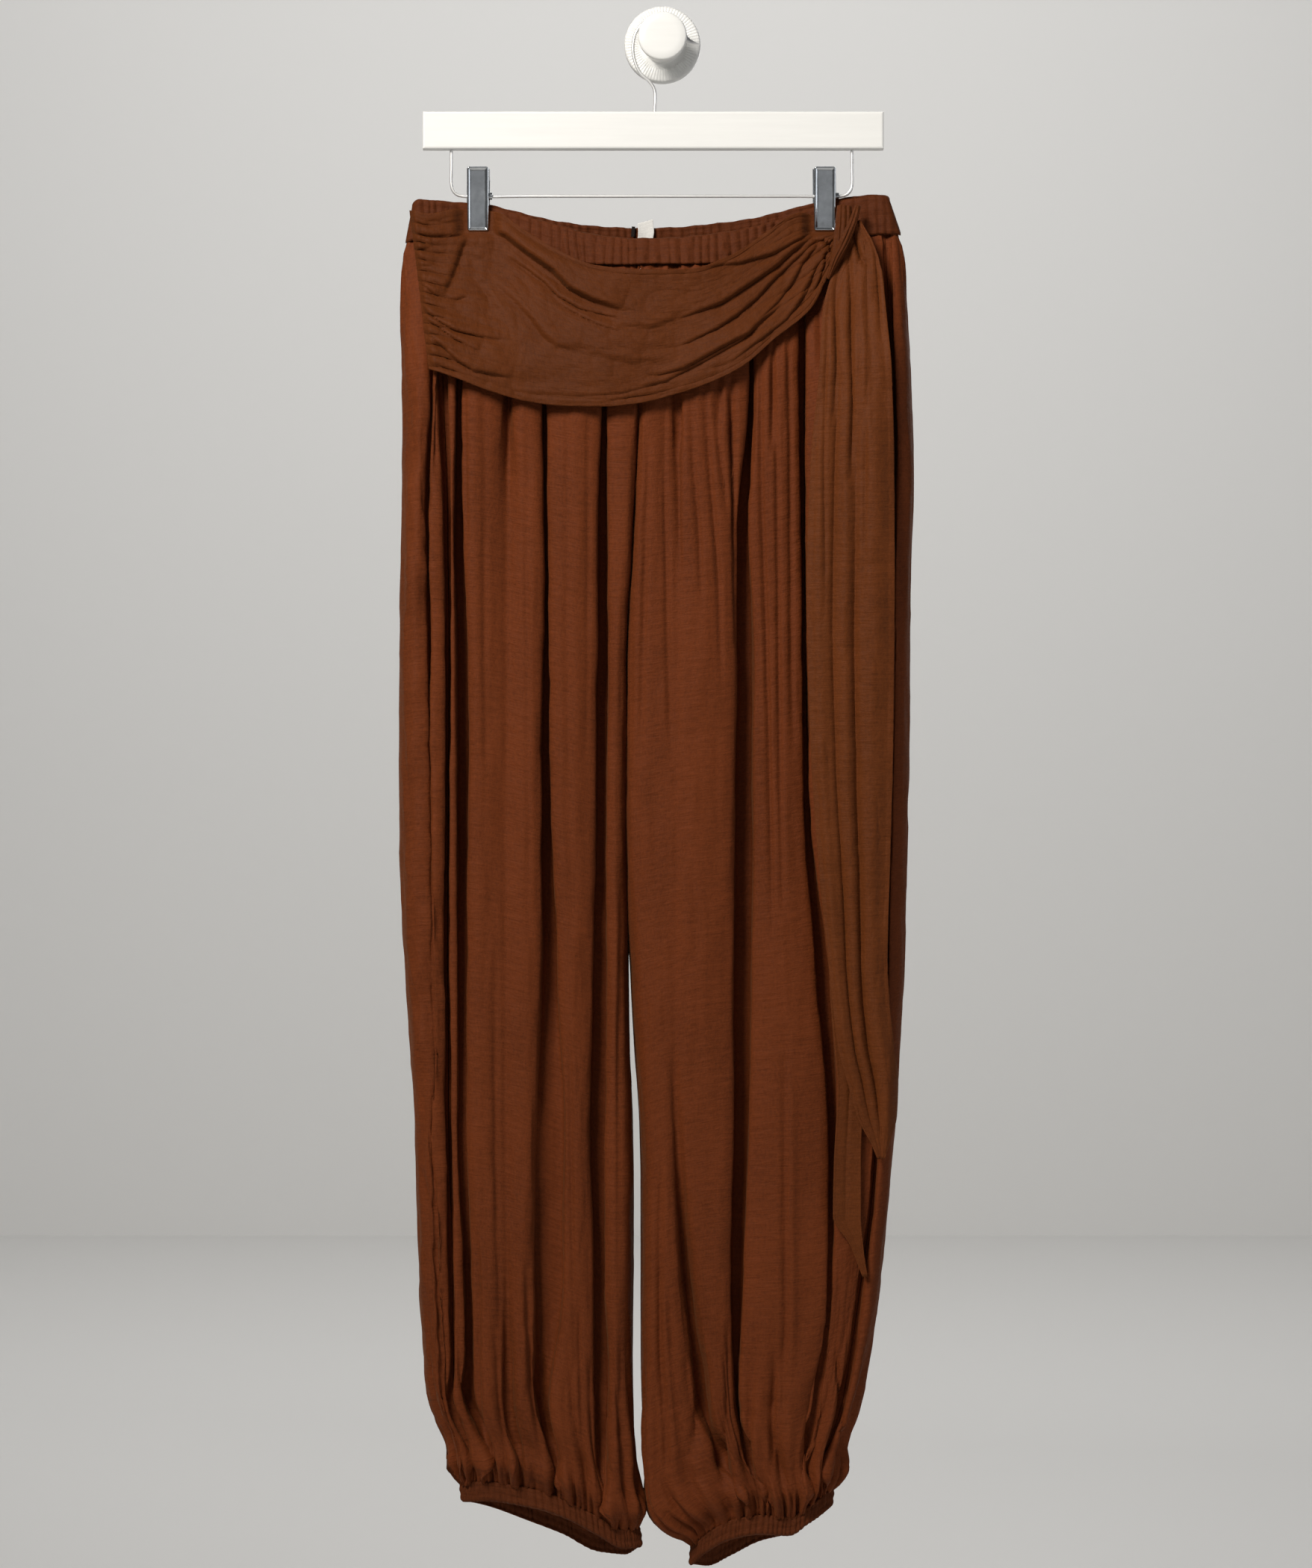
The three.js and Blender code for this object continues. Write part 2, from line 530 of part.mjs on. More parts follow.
const rightBack = [
  ...innerStations("right", "back", [0, quarter * 0.4, quarter]),
  ...foldStations("rightBack1", "back", SOFT_POINTS),
  ...crestStations(lipOf("rightBack1", 1), lipOf("rightBack2", -1), "back", [0.5]),
  ...foldStations("rightBack2", "back", SOFT_POINTS),
  ...crestStations(lipOf("rightBack2", 1), lipOf("rightBack3", -1), "back", [0.5]),
  ...foldStations("rightBack3", "back", SOFT_POINTS),
  ...crestStations(lipOf("rightBack3", 1), lipOf("rightBack4", -1), "back", [0.5]),
  ...foldStations("rightBack4", "back", SOFT_POINTS),
  ...outerStations("right", TURN),
  ...seamStations("rightSeam", 1).reverse(),
];

// Waistband half from end to end, with the gathers that its elastic makes.
function waistHalf(name, face, gathers, lines) {
  const sign = face === "front" ? -1 : 1;
  const xLeft = (v) => mix(-193.5, -198.6, v);
  const xRight = (v) => mix(175.5, 184.2, v);
  const grid = lines.map((v) => {
    const row = [];
    for (let i = -1; i <= gathers * 2 + 1; i += 1) {
      const s = clamp(i / (gathers * 2), 0, 1);
      const x = mix(xLeft(v), xRight(v), s);
      const end = Math.min(x - xLeft(v), xRight(v) - x);
      const atEdge = i < 0 || i > gathers * 2;
      const round = atEdge ? 0 : mix(0.55, 1, Math.sqrt(1 - (1 - clamp(end / 6, 0, 1)) ** 2));
      const clip = Math.min(Math.abs(x - CLIP_LEFT), Math.abs(x - CLIP_RIGHT));
      const height = 1.1 * smooth(9, 22, clip) * smooth(0, 9, end) * (0.7 + 0.3 * v);
      const gather = height * (i % 2 ? 1 : -1);
      const reach = bandFaceY(x, face, v) - (MID + sign * 0.35);
      const y = MID + sign * 0.35 + reach * round + sign * gather;
      row.push(new THREE.Vector3(x, y, mix(bandTop(x, face), bandFoot(x, face), v)));
    }
    return row;
  });
  return shell(name, grid, { inward: -sign, edges: [1, -1], material: cloth });
}

// Cuff ring with one rib to each two columns.
function cuffRing(name, side, ribs) {
  const grid = [0, 1].map((v) => {
    const row = [];
    for (let i = 0; i < ribs * 2; i += 1) {
      const angle = (i / (ribs * 2)) * Math.PI * 2;
      const face = Math.sin(angle) > 0 ? "front" : "back";
      const p = cuffPoint(side, Math.cos(angle), face);
      const out = new THREE.Vector3(Math.cos(angle), -Math.sin(angle), 0);
      p.addScaledVector(out, i % 2 ? 0.35 : -0.35);
      p.x += leg(side) * v * -1.5;
      p.z -= v * CUFF_HEIGHT;
      row.push(p);
    }
    return row;
  });
  return shell(name, grid, { ring: true, inward: -1, material: cloth });
}

// Sash: top and lower edge from the left side seam to the knot.
const SASH = [
  { s: 0, topX: -194.5, topZ: -133.5, lowX: -178.5, lowZ: -259 },
  { s: 0.07, topX: -179.8, topZ: -137.2, lowX: -156.8, lowZ: -266.5 },
  { s: 0.15, topX: -153.9, topZ: -132.6, lowX: -130.8, lowZ: -276.3 },
  { s: 0.23, topX: -129.9, topZ: -134.2, lowX: -104.9, lowZ: -283.3 },
  { s: 0.31, topX: -104.9, topZ: -150.7, lowX: -76.1, lowZ: -287.3 },
  { s: 0.39, topX: -79.0, topZ: -166.8, lowX: -44.4, lowZ: -287.9 },
  { s: 0.48, topX: -50.1, topZ: -178.9, lowX: -15.6, lowZ: -285.0 },
  { s: 0.58, topX: -15.6, topZ: -182.4, lowX: 10.4, lowZ: -278.1 },
  { s: 0.67, topX: 19.0, topZ: -181.8, lowX: 36.3, lowZ: -269.4 },
  { s: 0.76, topX: 50.7, topZ: -171.4, lowX: 62.2, lowZ: -256.2 },
  { s: 0.85, topX: 76.6, topZ: -154.2, lowX: 86.2, lowZ: -235.1 },
  { s: 0.93, topX: 99.7, topZ: -139.0, lowX: 106.2, lowZ: -206.9 },
  { s: 1, topX: 113.7, topZ: -133.5, lowX: 117.5, lowZ: -178.3 },
];
const SASH_COLUMNS = [
  0, 0.035, 0.07, 0.11, 0.152, 0.185, 0.22, 0.27, 0.34, 0.42, 0.5, 0.58, 0.66, 0.74, 0.82, 0.88, 0.94, 1,
];
const SASH_LIFT = 2.2;
const CLIP_LIFT = 0.5;
const SASH_PLEATS = 4;
const SASH_GATHERS = 11;

// Front cloth face with the side turn, to lay the sash and the tie ends on.
function layY(x, z) {
  const side = x < 0 ? "left" : "right";
  const r = along(OUTLINE, "z", "turn", z);
  const xFull = outerX(side, z) - leg(side) * r;
  const past = clamp((x - xFull) * leg(side) / r, 0, 0.97);
  const band = bandFoot(x, "front");
  const above = z > band ? (z - band) / (bandTop(x, "front") - band) : 0;
  const face = z > band ? bandFaceY(x, "front", 1 - above) : frontCrest(x, z);
  return MID + (face - MID) * Math.sqrt(1 - past ** 2);
}

function sash() {
  const lines = SASH_GATHERS * 2;
  const grid = [];
  for (let r = 0; r <= lines; r += 1) {
    const row = [];
    for (const s of SASH_COLUMNS) {
      const v = r / lines;
      const at = (key) => along(SASH, "s", key, s);
      const x = mix(at("topX"), at("lowX"), v);
      const z = mix(at("topZ"), at("lowZ"), v);
      const hem = Math.sin(Math.PI * v) ** 0.5;
      const pleat = (0.5 - 0.5 * Math.cos(2 * Math.PI * SASH_PLEATS * v)) * hem * smooth(0.25, 0.9, s);
      const gather = (r % 2) * smooth(0.22, 0.02, s);
      const clip = smooth(8, 20, Math.abs(x - CLIP_LEFT)) + smooth(-150, -165, z);
      const lift = SASH_LIFT + (pleat * 4 + gather * 1.6) * Math.min(1, clip);
      const near = smooth(24, 13, Math.abs(x - CLIP_LEFT)) * smooth(-165, -150, z);
      row.push(new THREE.Vector3(x, layY(x, z) - mix(lift, CLIP_LIFT, near), z));
    }
    grid.push(row);
  }
  return shell("sash", grid, { inward: -1, material: sashCloth });
}

// The two ends of the tie: outline rows by height. Folds cross them lengthwise.
const TAILS = {
  tie_end_front: {
    lift: 6.2,
    rows: [
      { z: -176, left: 127.5, right: 165.5 },
      { z: -215, left: 121.6, right: 170.6 },
      { z: -262, left: 119.4, right: 174.6 },
      { z: -332, left: 113.0, right: 176.3 },
      { z: -424, left: 110.1, right: 176.9 },
      { z: -547, left: 113.0, right: 175.8 },
      { z: -639, left: 119.3, right: 173.5 },
      { z: -714, left: 126.8, right: 171.7 },
      { z: -778, left: 134.3, right: 176.3 },
      { z: -806, left: 141.8, right: 179.6 },
      { z: -830, left: 148.7, right: 178.7 },
      { z: -847, left: 157.3, right: 173.9 },
      { z: -862, left: 164.8, right: 169.6 },
    ],
    folds: [{ at: 0.33, wide: 0.09, deep: 1.7 }, { at: 0.66, wide: 0.1, deep: 1.3 }],
    columns: 9,
    lines: 17,
  },
  tie_end_back: {
    lift: 2.5,
    rows: [
      { z: -180, left: 134.3, right: 162.2 },
      { z: -374, left: 129.7, right: 166.9 },
      { z: -547, left: 127.4, right: 166.7 },
      { z: -720, left: 127.4, right: 164.2 },
      { z: -778, left: 131.4, right: 157.3 },
      { z: -806, left: 133.7, right: 154.4 },
      { z: -870, left: 130.8, right: 151.6 },
      { z: -907, left: 130.2, right: 151.6 },
      { z: -928, left: 143.0, right: 153.3 },
      { z: -953, left: 153.0, right: 156.8 },
    ],
    folds: [{ at: 0.5, wide: 0.15, deep: 0 }],
    columns: 4,
    lines: 16,
  },
};
function tieEnd(name) {
  const tail = TAILS[name];
  const top = tail.rows[0].z;
  const tip = tail.rows[tail.rows.length - 1].z;
  const grid = [];
  for (let r = 0; r <= tail.lines; r += 1) {
    const z = mix(top, tip, (r / tail.lines) ** 0.85);
    const left = along(tail.rows, "z", "left", z);
    const right = along(tail.rows, "z", "right", z);
    const row = [];
    for (let c = 0; c <= tail.columns; c += 1) {
      const u = c / tail.columns;
      const x = mix(left, right, u);
      const ridge = tail.folds.reduce((sum, fold) =>
        sum + fold.deep * Math.exp(-(((u - fold.at) / fold.wide) ** 2)), 0);
      row.push(new THREE.Vector3(x, layY(x, z) - tail.lift - ridge * smooth(tip, tip + 60, z), z));
    }
    grid.push(row);
  }
  return shell(name, grid, { inward: -1, material: sashCloth });
}

// Knot: two short hollow strands that cross, the wrap over the one beneath.
function strand(name, path, half, thick, bulge) {
  const curve = new THREE.CatmullRomCurve3(path.map((p) => new THREE.Vector3(...p)));
  const steps = 6;
  const around = 14;
  const grid = [];
  for (let r = 0; r <= steps; r += 1) {
    const t = r / steps;
    const centre = curve.getPoint(t);
    const tangent = curve.getTangent(t);
    const wide = new THREE.Vector3(0, 1, 0).cross(tangent).normalize();
    const deep = tangent.clone().cross(wide).normalize();
    const swell = 1 + bulge * Math.sin(Math.PI * t);
    const row = [];
    for (let c = 0; c < around; c += 1) {
      const angle = (c / around) * Math.PI * 2;
      const crease = 1 + 0.1 * (c % 2 ? 1 : -1) * Math.abs(Math.sin(angle));
      row.push(centre.clone()
        .addScaledVector(wide, Math.cos(angle) * half * swell)
        .addScaledVector(deep, Math.sin(angle) * thick * crease));
    }
    grid.push(row);
  }
  return shell(name, grid, { ring: true, inward: -1, tilted: true, material: sashCloth });
}
const KNOT_WRAP = [[151, -50.3, -137], [144, -54.3, -150], [133, -52.3, -165]];
const KNOT_UNDER = [[121, -44.5, -159], [140, -45, -157], [159, -44.5, -168]];

// Care label and the small dark label beside it, inside the back of the waist.
function slip(name, centre, wide, high, lean, material) {
  const mesh = new THREE.Mesh(new THREE.BoxGeometry(wide, 1, high), material);
  mesh.name = name;
  mesh.position.set(...centre);
  mesh.rotation.set(0, lean, 0);
  return mesh;
}

// Plate bent from points in the YZ plane, wide along X.
function jaw(name, x, wide, profile) {
  const shape = new THREE.Shape(profile.map(([y, z]) => new THREE.Vector2(y, z)));
  const geometry = new THREE.ExtrudeGeometry(shape, { depth: wide, bevelEnabled: false });
  geometry.applyMatrix4(new THREE.Matrix4().set(
    0, 0, 1, x - wide / 2, 1, 0, 0, 0, 0, 1, 0, 0, 0, 0, 0, 1));
  const mesh = new THREE.Mesh(geometry, chrome);
  mesh.name = name;
  return mesh;
}

const BAR = { left: -185, right: 170.6, top: -57.3, foot: -86.2, thick: 12, bevel: 1.6 };
const RAIL = { left: -163, right: 146.4, corner: 9 };
const CLIP = { wide: 18, top: -100, foot: -149.5, jaw: 1.2, sleeveIn: 1.7, sleeveOut: 2.8 };
const KNOB = { base: 29.6, baseDeep: 10, neck: 14.7, face: 18.75, neckEnd: -40, end: -47 };

function bar() {
  const inset = BAR.bevel;
  const shape = new THREE.Shape();
  shape.moveTo(BAR.left + inset, BAR.foot + inset);
  shape.lineTo(BAR.right - inset, BAR.foot + inset);
  shape.lineTo(BAR.right - inset, BAR.top - inset);
  shape.lineTo(BAR.left + inset, BAR.top - inset);
  const geometry = new THREE.ExtrudeGeometry(shape, {
    depth: BAR.thick - 2 * inset, bevelEnabled: true,
    bevelThickness: inset, bevelSize: inset, bevelSegments: 2,
  });
  geometry.rotateX(quarter);
  geometry.translate(0, RAIL_Y + BAR.thick / 2 - inset, 0);
  const mesh = new THREE.Mesh(geometry, paint);
  mesh.name = "hanger_bar";
  return mesh;
}

function rail() {
  const { left, right, corner } = RAIL;
  const v = (x, z) => new THREE.Vector3(x, RAIL_Y, z);
  const top = BAR.foot - SEAM;
  const points = [
    v(left, top), v(left, RAIL_Z + corner), v(left + corner * 0.12, RAIL_Z + corner * 0.5),
    v(left + corner * 0.5, RAIL_Z + corner * 0.12), v(left + corner, RAIL_Z),
    v(right - corner, RAIL_Z), v(right - corner * 0.5, RAIL_Z + corner * 0.12),
    v(right - corner * 0.12, RAIL_Z + corner * 0.5), v(right, RAIL_Z + corner), v(right, top),
  ];
  return sweptWire("hanger_rail", points, points.map(() => WIRE_R));
}

// Round wire through points in the hanger's plane, mitred at each, with closed ends.
function sweptWire(name, points, radii) {
  const around = 10;
  const rings = points.map((p, i) => {
    const before = points[Math.max(0, i - 1)];
    const after = points[Math.min(points.length - 1, i + 1)];
    const a = p.clone().sub(before).normalize();
    const b = after.clone().sub(p).normalize();
    const tangent = a.clone().add(b).normalize();
    const miter = i === 0 || i === points.length - 1 ? 1 : 1 / Math.max(0.5, tangent.dot(b));
    const side = new THREE.Vector3(0, 1, 0).cross(tangent).normalize();
    const row = [];
    for (let k = 0; k < around; k += 1) {
      const angle = (k / around) * Math.PI * 2;
      row.push(p.clone()
        .addScaledVector(side, Math.cos(angle) * radii[i] * miter)
        .add(new THREE.Vector3(0, Math.sin(angle) * radii[i], 0)));
    }
    return row;
  });
  const all = rings.flat();
  const first = all.push(points[0].clone()) - 1;
  const last = all.push(points[points.length - 1].clone()) - 1;
  const faces = [];
  const end = (rings.length - 1) * around;
  for (let k = 0; k < around; k += 1) {
    const n = (k + 1) % around;
    for (let r = 0; r < rings.length - 1; r += 1) {
      const a = r * around;
      faces.push([a + k, a + around + k, a + around + n], [a + k, a + around + n, a + n]);
    }
    faces.push([first, k, n], [last, end + n, end + k]);
  }
  return solid(name, all, faces, chrome);
}

// Hook wire: stem from the bar, over the knob's neck, to a ball tip on the right.
const HOOK = [
  { x: -6, z: -56.9 }, { x: -6, z: -40.5 }, { x: -10, z: -33.5 }, { x: -17, z: -27 }, { x: -21.5, z: -17 },
  { x: -22.8, z: -7 }, { x: -20.6, z: 4 }, { x: -14, z: 12.6 }, { x: -7.5, z: 15.9 }, { x: 0, z: 16.8 },
  { x: 7, z: 15.2 }, { x: 12.4, z: 11.2 }, { x: 15.8, z: 5.6 }, { x: 17.8, z: 0.4 }, { x: 21, z: -2.9 },
  { x: 24.4, z: -4.2 }, { x: 25.6, z: -4.6 }, { x: 27.2, z: -5 }, { x: 28.6, z: -5.3 },
];
const HOOK_TIP = [WIRE_R, 2.1, 2.3, 1.1];

function hook() {
  const points = HOOK.map((p) => new THREE.Vector3(p.x, RAIL_Y, p.z));
  const radii = HOOK.map((p, i) => HOOK_TIP[i - HOOK.length + HOOK_TIP.length] ?? WIRE_R);
  return sweptWire("hanger_hook", points, radii);
}

function knob() {
  const profile = [
    [0, 0], [KNOB.base, 0], [KNOB.base, KNOB.baseDeep - 1.5], [KNOB.base - 1.5, KNOB.baseDeep],
    [KNOB.neck, KNOB.baseDeep], [KNOB.neck, -KNOB.neckEnd], [KNOB.face - 0.8, -KNOB.neckEnd],
    [KNOB.face, -KNOB.neckEnd + 1], [KNOB.face, -KNOB.end - 1.5], [KNOB.face - 1.5, -KNOB.end], [0, -KNOB.end],
  ];
  const geometry = new THREE.LatheGeometry(profile.map(([r, d]) => new THREE.Vector2(r, d)), 36);
  geometry.rotateX(Math.PI);
  const mesh = new THREE.Mesh(geometry, paint);
  mesh.name = "wall_knob";
  return mesh;
}

function sleeve(name, x) {
  const { sleeveIn, sleeveOut, wide } = CLIP;
  const half = wide / 2 - 1;
  const profile = [
    [sleeveIn, -half], [sleeveOut, -half], [sleeveOut, half + 3], [sleeveIn, half + 3], [sleeveIn, -half],
  ];
  const geometry = new THREE.LatheGeometry(profile.map(([r, d]) => new THREE.Vector2(r, d)), 16);
  geometry.rotateZ(-quarter);
  const mesh = new THREE.Mesh(geometry, chrome);
  mesh.name = name;
  mesh.position.set(x, RAIL_Y, RAIL_Z);
  return mesh;
}

function clip(name, x, cover) {
  const t = CLIP.jaw;
  const near = RAIL_Y - CLIP.sleeveOut - 0.3;
  const far = RAIL_Y + CLIP.sleeveOut + 0.3;
  const front = cover - SEAM;
  const back = PINCH_BACK + SEAM;
  return [
    jaw(`${name}_front`, x, CLIP.wide, [
      [near - 4.5, CLIP.top], [near - 4.5 - t, CLIP.top], [near - t - 0.4, -116], [near - t - 0.4, -127],
      [near - t - 2, -137], [front - t, CLIP.foot], [front, CLIP.foot], [near - 2, -137], [near - 0.2, -127],
      [near - 0.2, -116],
    ]),
    jaw(`${name}_back`, x, CLIP.wide, [
      [far + 3.5, CLIP.top], [far + 3.5 + t, CLIP.top], [far + t + 0.3, -116], [far + t + 0.3, -127],
      [far + t + 1, -137], [back + t, CLIP.foot], [back, CLIP.foot], [far + 1, -137], [far + 0.1, -127],
      [far + 0.1, -116],
    ]),
    sleeve(`${name}_sleeve`, x),
  ];
}

const group = new THREE.Group();
group.add(
  knob(),
  hook(),
  bar(),
  rail(),
  ...clip("clip_left", CLIP_LEFT, PINCH_FRONT - CLIP_LIFT - CLOTH),
  ...clip("clip_right", CLIP_RIGHT, PINCH_FRONT),
  waistHalf("waistband_front", "front", 50, [0, 0.5, 1]),
  waistHalf("waistband_back", "back", 44, [0, 1]),
  legPanel("leg_front_left", "left", FRONT_ROWS, { inward: 1, edges: [1, -1] }, leftFront),
  legPanel("leg_front_right", "right", FRONT_ROWS, { inward: 1, edges: [1, -1] }, rightFront),
  legPanel("leg_back_left", "left", BACK_ROWS, { inward: 1, edges: [-1, -1] }, leftBack),
  legPanel("leg_back_right", "right", BACK_ROWS, { inward: -1, edges: [1, 1] }, rightBack),
  cuffRing("cuff_left", "left", 32),
  cuffRing("cuff_right", "right", 32),
  sash(),
  tieEnd("tie_end_front"),
  tieEnd("tie_end_back"),
  strand("knot_wrap", KNOT_WRAP, 9.5, 4.6, 0.18),
  strand("knot_under", KNOT_UNDER, 8.5, 2.7, 0.1),
  slip("care_label", [-14, -16.2, -148.6], 14.4, 18.5, 0.09, label),
  slip("size_label", [-22.8, -16.2, -147], 2.6, 8, 0.09, darkLabel),
);

export default group;
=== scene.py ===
import math

import bpy
import numpy as np
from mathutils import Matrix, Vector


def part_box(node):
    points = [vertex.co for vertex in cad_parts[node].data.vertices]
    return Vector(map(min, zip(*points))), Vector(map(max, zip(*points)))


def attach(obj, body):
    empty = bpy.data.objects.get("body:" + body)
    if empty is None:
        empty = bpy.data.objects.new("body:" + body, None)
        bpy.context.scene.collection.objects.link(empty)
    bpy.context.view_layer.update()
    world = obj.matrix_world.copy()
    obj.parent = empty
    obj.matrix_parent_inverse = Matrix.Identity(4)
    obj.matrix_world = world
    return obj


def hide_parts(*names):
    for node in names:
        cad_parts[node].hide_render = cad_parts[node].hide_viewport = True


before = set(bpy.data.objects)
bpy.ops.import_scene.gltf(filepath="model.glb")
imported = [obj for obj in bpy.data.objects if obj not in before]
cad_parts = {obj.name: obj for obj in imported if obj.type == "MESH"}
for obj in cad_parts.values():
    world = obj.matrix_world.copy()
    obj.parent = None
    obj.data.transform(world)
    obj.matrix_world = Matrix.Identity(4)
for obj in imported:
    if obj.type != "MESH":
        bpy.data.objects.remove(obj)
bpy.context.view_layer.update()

# Balloon pants on a clip hanger. Millimetres here, metres in Blender.
# The wall is y = 0, the garment's front faces -Y, the knob's back centre is the origin.
MM = 0.001
CLOTH = 1.0             # wall of the cloth
SEAM = 0.4              # gap left at a seam
MID = -33               # the plane that the garment hangs in
FULL_FRONT = 31         # fullness of the cloth before that plane
FULL_BACK = 24          # and behind it
FULL_Z = -262           # below the waist seam the cloth fills out down to here
LIP = 4.5               # how far the cloth turns in at the edge of a fold
DEEPER = 1.4            # the front's folds are this many times as deep as in FOLDS
FRONT_ROOM = 2          # kept between the front's folds and the middle plane
FILLED_ROOM = 4         # and this much more once the cloth has filled out
SEAM_ROOM = 3           # kept between the side seams and that plane
BACK_ROOM = 7           # kept between the back's folds and that plane
CROTCH = -700
LOW_LEG = (-900, -1110)  # the legs grow flatter between these heights
CUFF_HEIGHT = 15.5
CUFF_BLEND = 78         # a leg draws in from this height over its cuff
BAND_HEIGHT = 29
BAND_ENDS = {"left": (-193.5, -198.6), "right": (175.5, 184.2)}
PINCH_FRONT = -34.7     # outer faces of the waistband where the clips pinch it
PINCH_BACK = -31.4
RAIL_Y = -34
RAIL_Z = -122
RAIL_LEFT = -163
RAIL_RIGHT = 146.4
RAIL_TOP = -86.6
CLIP_LEFT = -142.3
CLIP_RIGHT = 125.2
WIRE_R = 1.25
QUARTER = math.pi / 2

# Outer edges of the legs, and how wide the cloth turns round there.
OUTLINE = {
    "z": [
        -123, -155, -201, -248, -340, -409, -547, -639, -732, -824, -916, -985, -1031, -1077, -1100,
        -1124, -1175,
    ],
    "left": [
        -193.5, -198.8, -202.4, -200.6, -200, -201.7, -203.4, -202.9, -198.2, -192.5, -189, -186.1,
        -182.7, -172.3, -164.2, -157.3, -150,
    ],
    "right": [
        175.5, 184.4, 189.6, 191.3, 194, 192.2, 190.8, 188.5, 185.6, 181, 173.5, 166.6, 156.8, 147,
        141.8, 134.9, 128,
    ],
    "turn": [7, 8, 13, 14, 14, 14, 14, 14, 13, 12, 11, 11, 10, 9, 8, 8, 8],
}
# Inner edges of the legs, how full they are there and how wide they turn.
INNER = {
    "z": [-140, -265, -374, -490, -605, -714, -778, -835, -893, -1008, -1095, -1175],
    "left": [-17.3, -17.3, -21.9, -27.7, -28.2, -25.9, -25, -22.7, -21.8, -22.5, -21.3, -16.5],
    "right": [-17.3, -17.3, -21.9, -27.7, -28.2, -25.5, -22.3, -18.4, -17.3, -17.3, -14.8, -9],
    "front": [24, 21, 18, 15, 9, 0.4, 0.4, 0.4, 0.4, 0.4, 0.4, 0.4],
    "back": [17, 15, 14, 12, 8, 0.4, 0.4, 0.4, 0.4, 0.4, 0.4, 0.4],
    "turn": [5, 6, 7, 8, 9, 10, 11, 12, 13, 13, 14, 14],
}
# Top edge of the waistband, its outer faces there, and how far its foot hangs out.
WAIST = {
    "x": [-199, -186, -165, -152, -133, -119, -79, -50, -21, 8, 36, 65, 100, 116, 134, 152, 170, 185],
    "front": [
        -128.5, -126, -127.8, -128.8, -131.2, -135.1, -146.7, -154.2, -157, -156.5, -153.6, -148.4,
        -138, -131.5, -127, -124.4, -122.6, -122.4,
    ],
    "back": [
        -127.5, -124.9, -126.6, -127.8, -129.5, -132.8, -140.9, -143.8, -144.9, -144.4, -142.1, -139.2,
        -132, -128.4, -125.3, -121.9, -120.8, -120.7,
    ],
    "frontY": [
        -36, -39, -37, PINCH_FRONT, PINCH_FRONT, -36.5, -43, -47, -49, -49, -47, -43, -37, PINCH_FRONT,
        PINCH_FRONT, -37.5, -39, -37,
    ],
    "backY": [
        -30, -28, -29, PINCH_BACK, PINCH_BACK, -29, -20, -15, -13, -13, -15, -20, -28, PINCH_BACK,
        PINCH_BACK, -28, -26, -28,
    ],
    "belly": [0.5, 1, 0.6, 0, 0, 1, 5, 8, 9, 9, 8, 5, 1.5, 0, 0, 0.8, 1, 0.5],
}
# Top and lower edge of the sash from its left end to the knot.
SASH = {
    "s": [0, 0.07, 0.15, 0.23, 0.31, 0.39, 0.48, 0.58, 0.67, 0.76, 0.85, 0.93, 1],
    "topX": [-194.5, -179.8, -153.9, -129.9, -104.9, -79, -50.1, -15.6, 19, 50.7, 76.6, 106, 134],
    "topZ": [
        -133.5, -137.2, -132.6, -134.2, -150.7, -166.8, -178.9, -182.4, -181.8, -171.4, -154.2, -136,
        -141,
    ],
    "lowX": [-178.5, -156.8, -130.8, -104.9, -76.1, -44.4, -15.6, 10.4, 36.3, 62.2, 86.2, 113, 132.5],
    "lowZ": [
        -259, -266.5, -276.3, -283.3, -287.3, -287.9, -285, -278.1, -269.4, -256.2, -235.1, -212,
        -172,
    ],
}
LEVELS = [-150, -265, -380, -495, -610, -725, -840, -955, -1050, -1110, -1175]
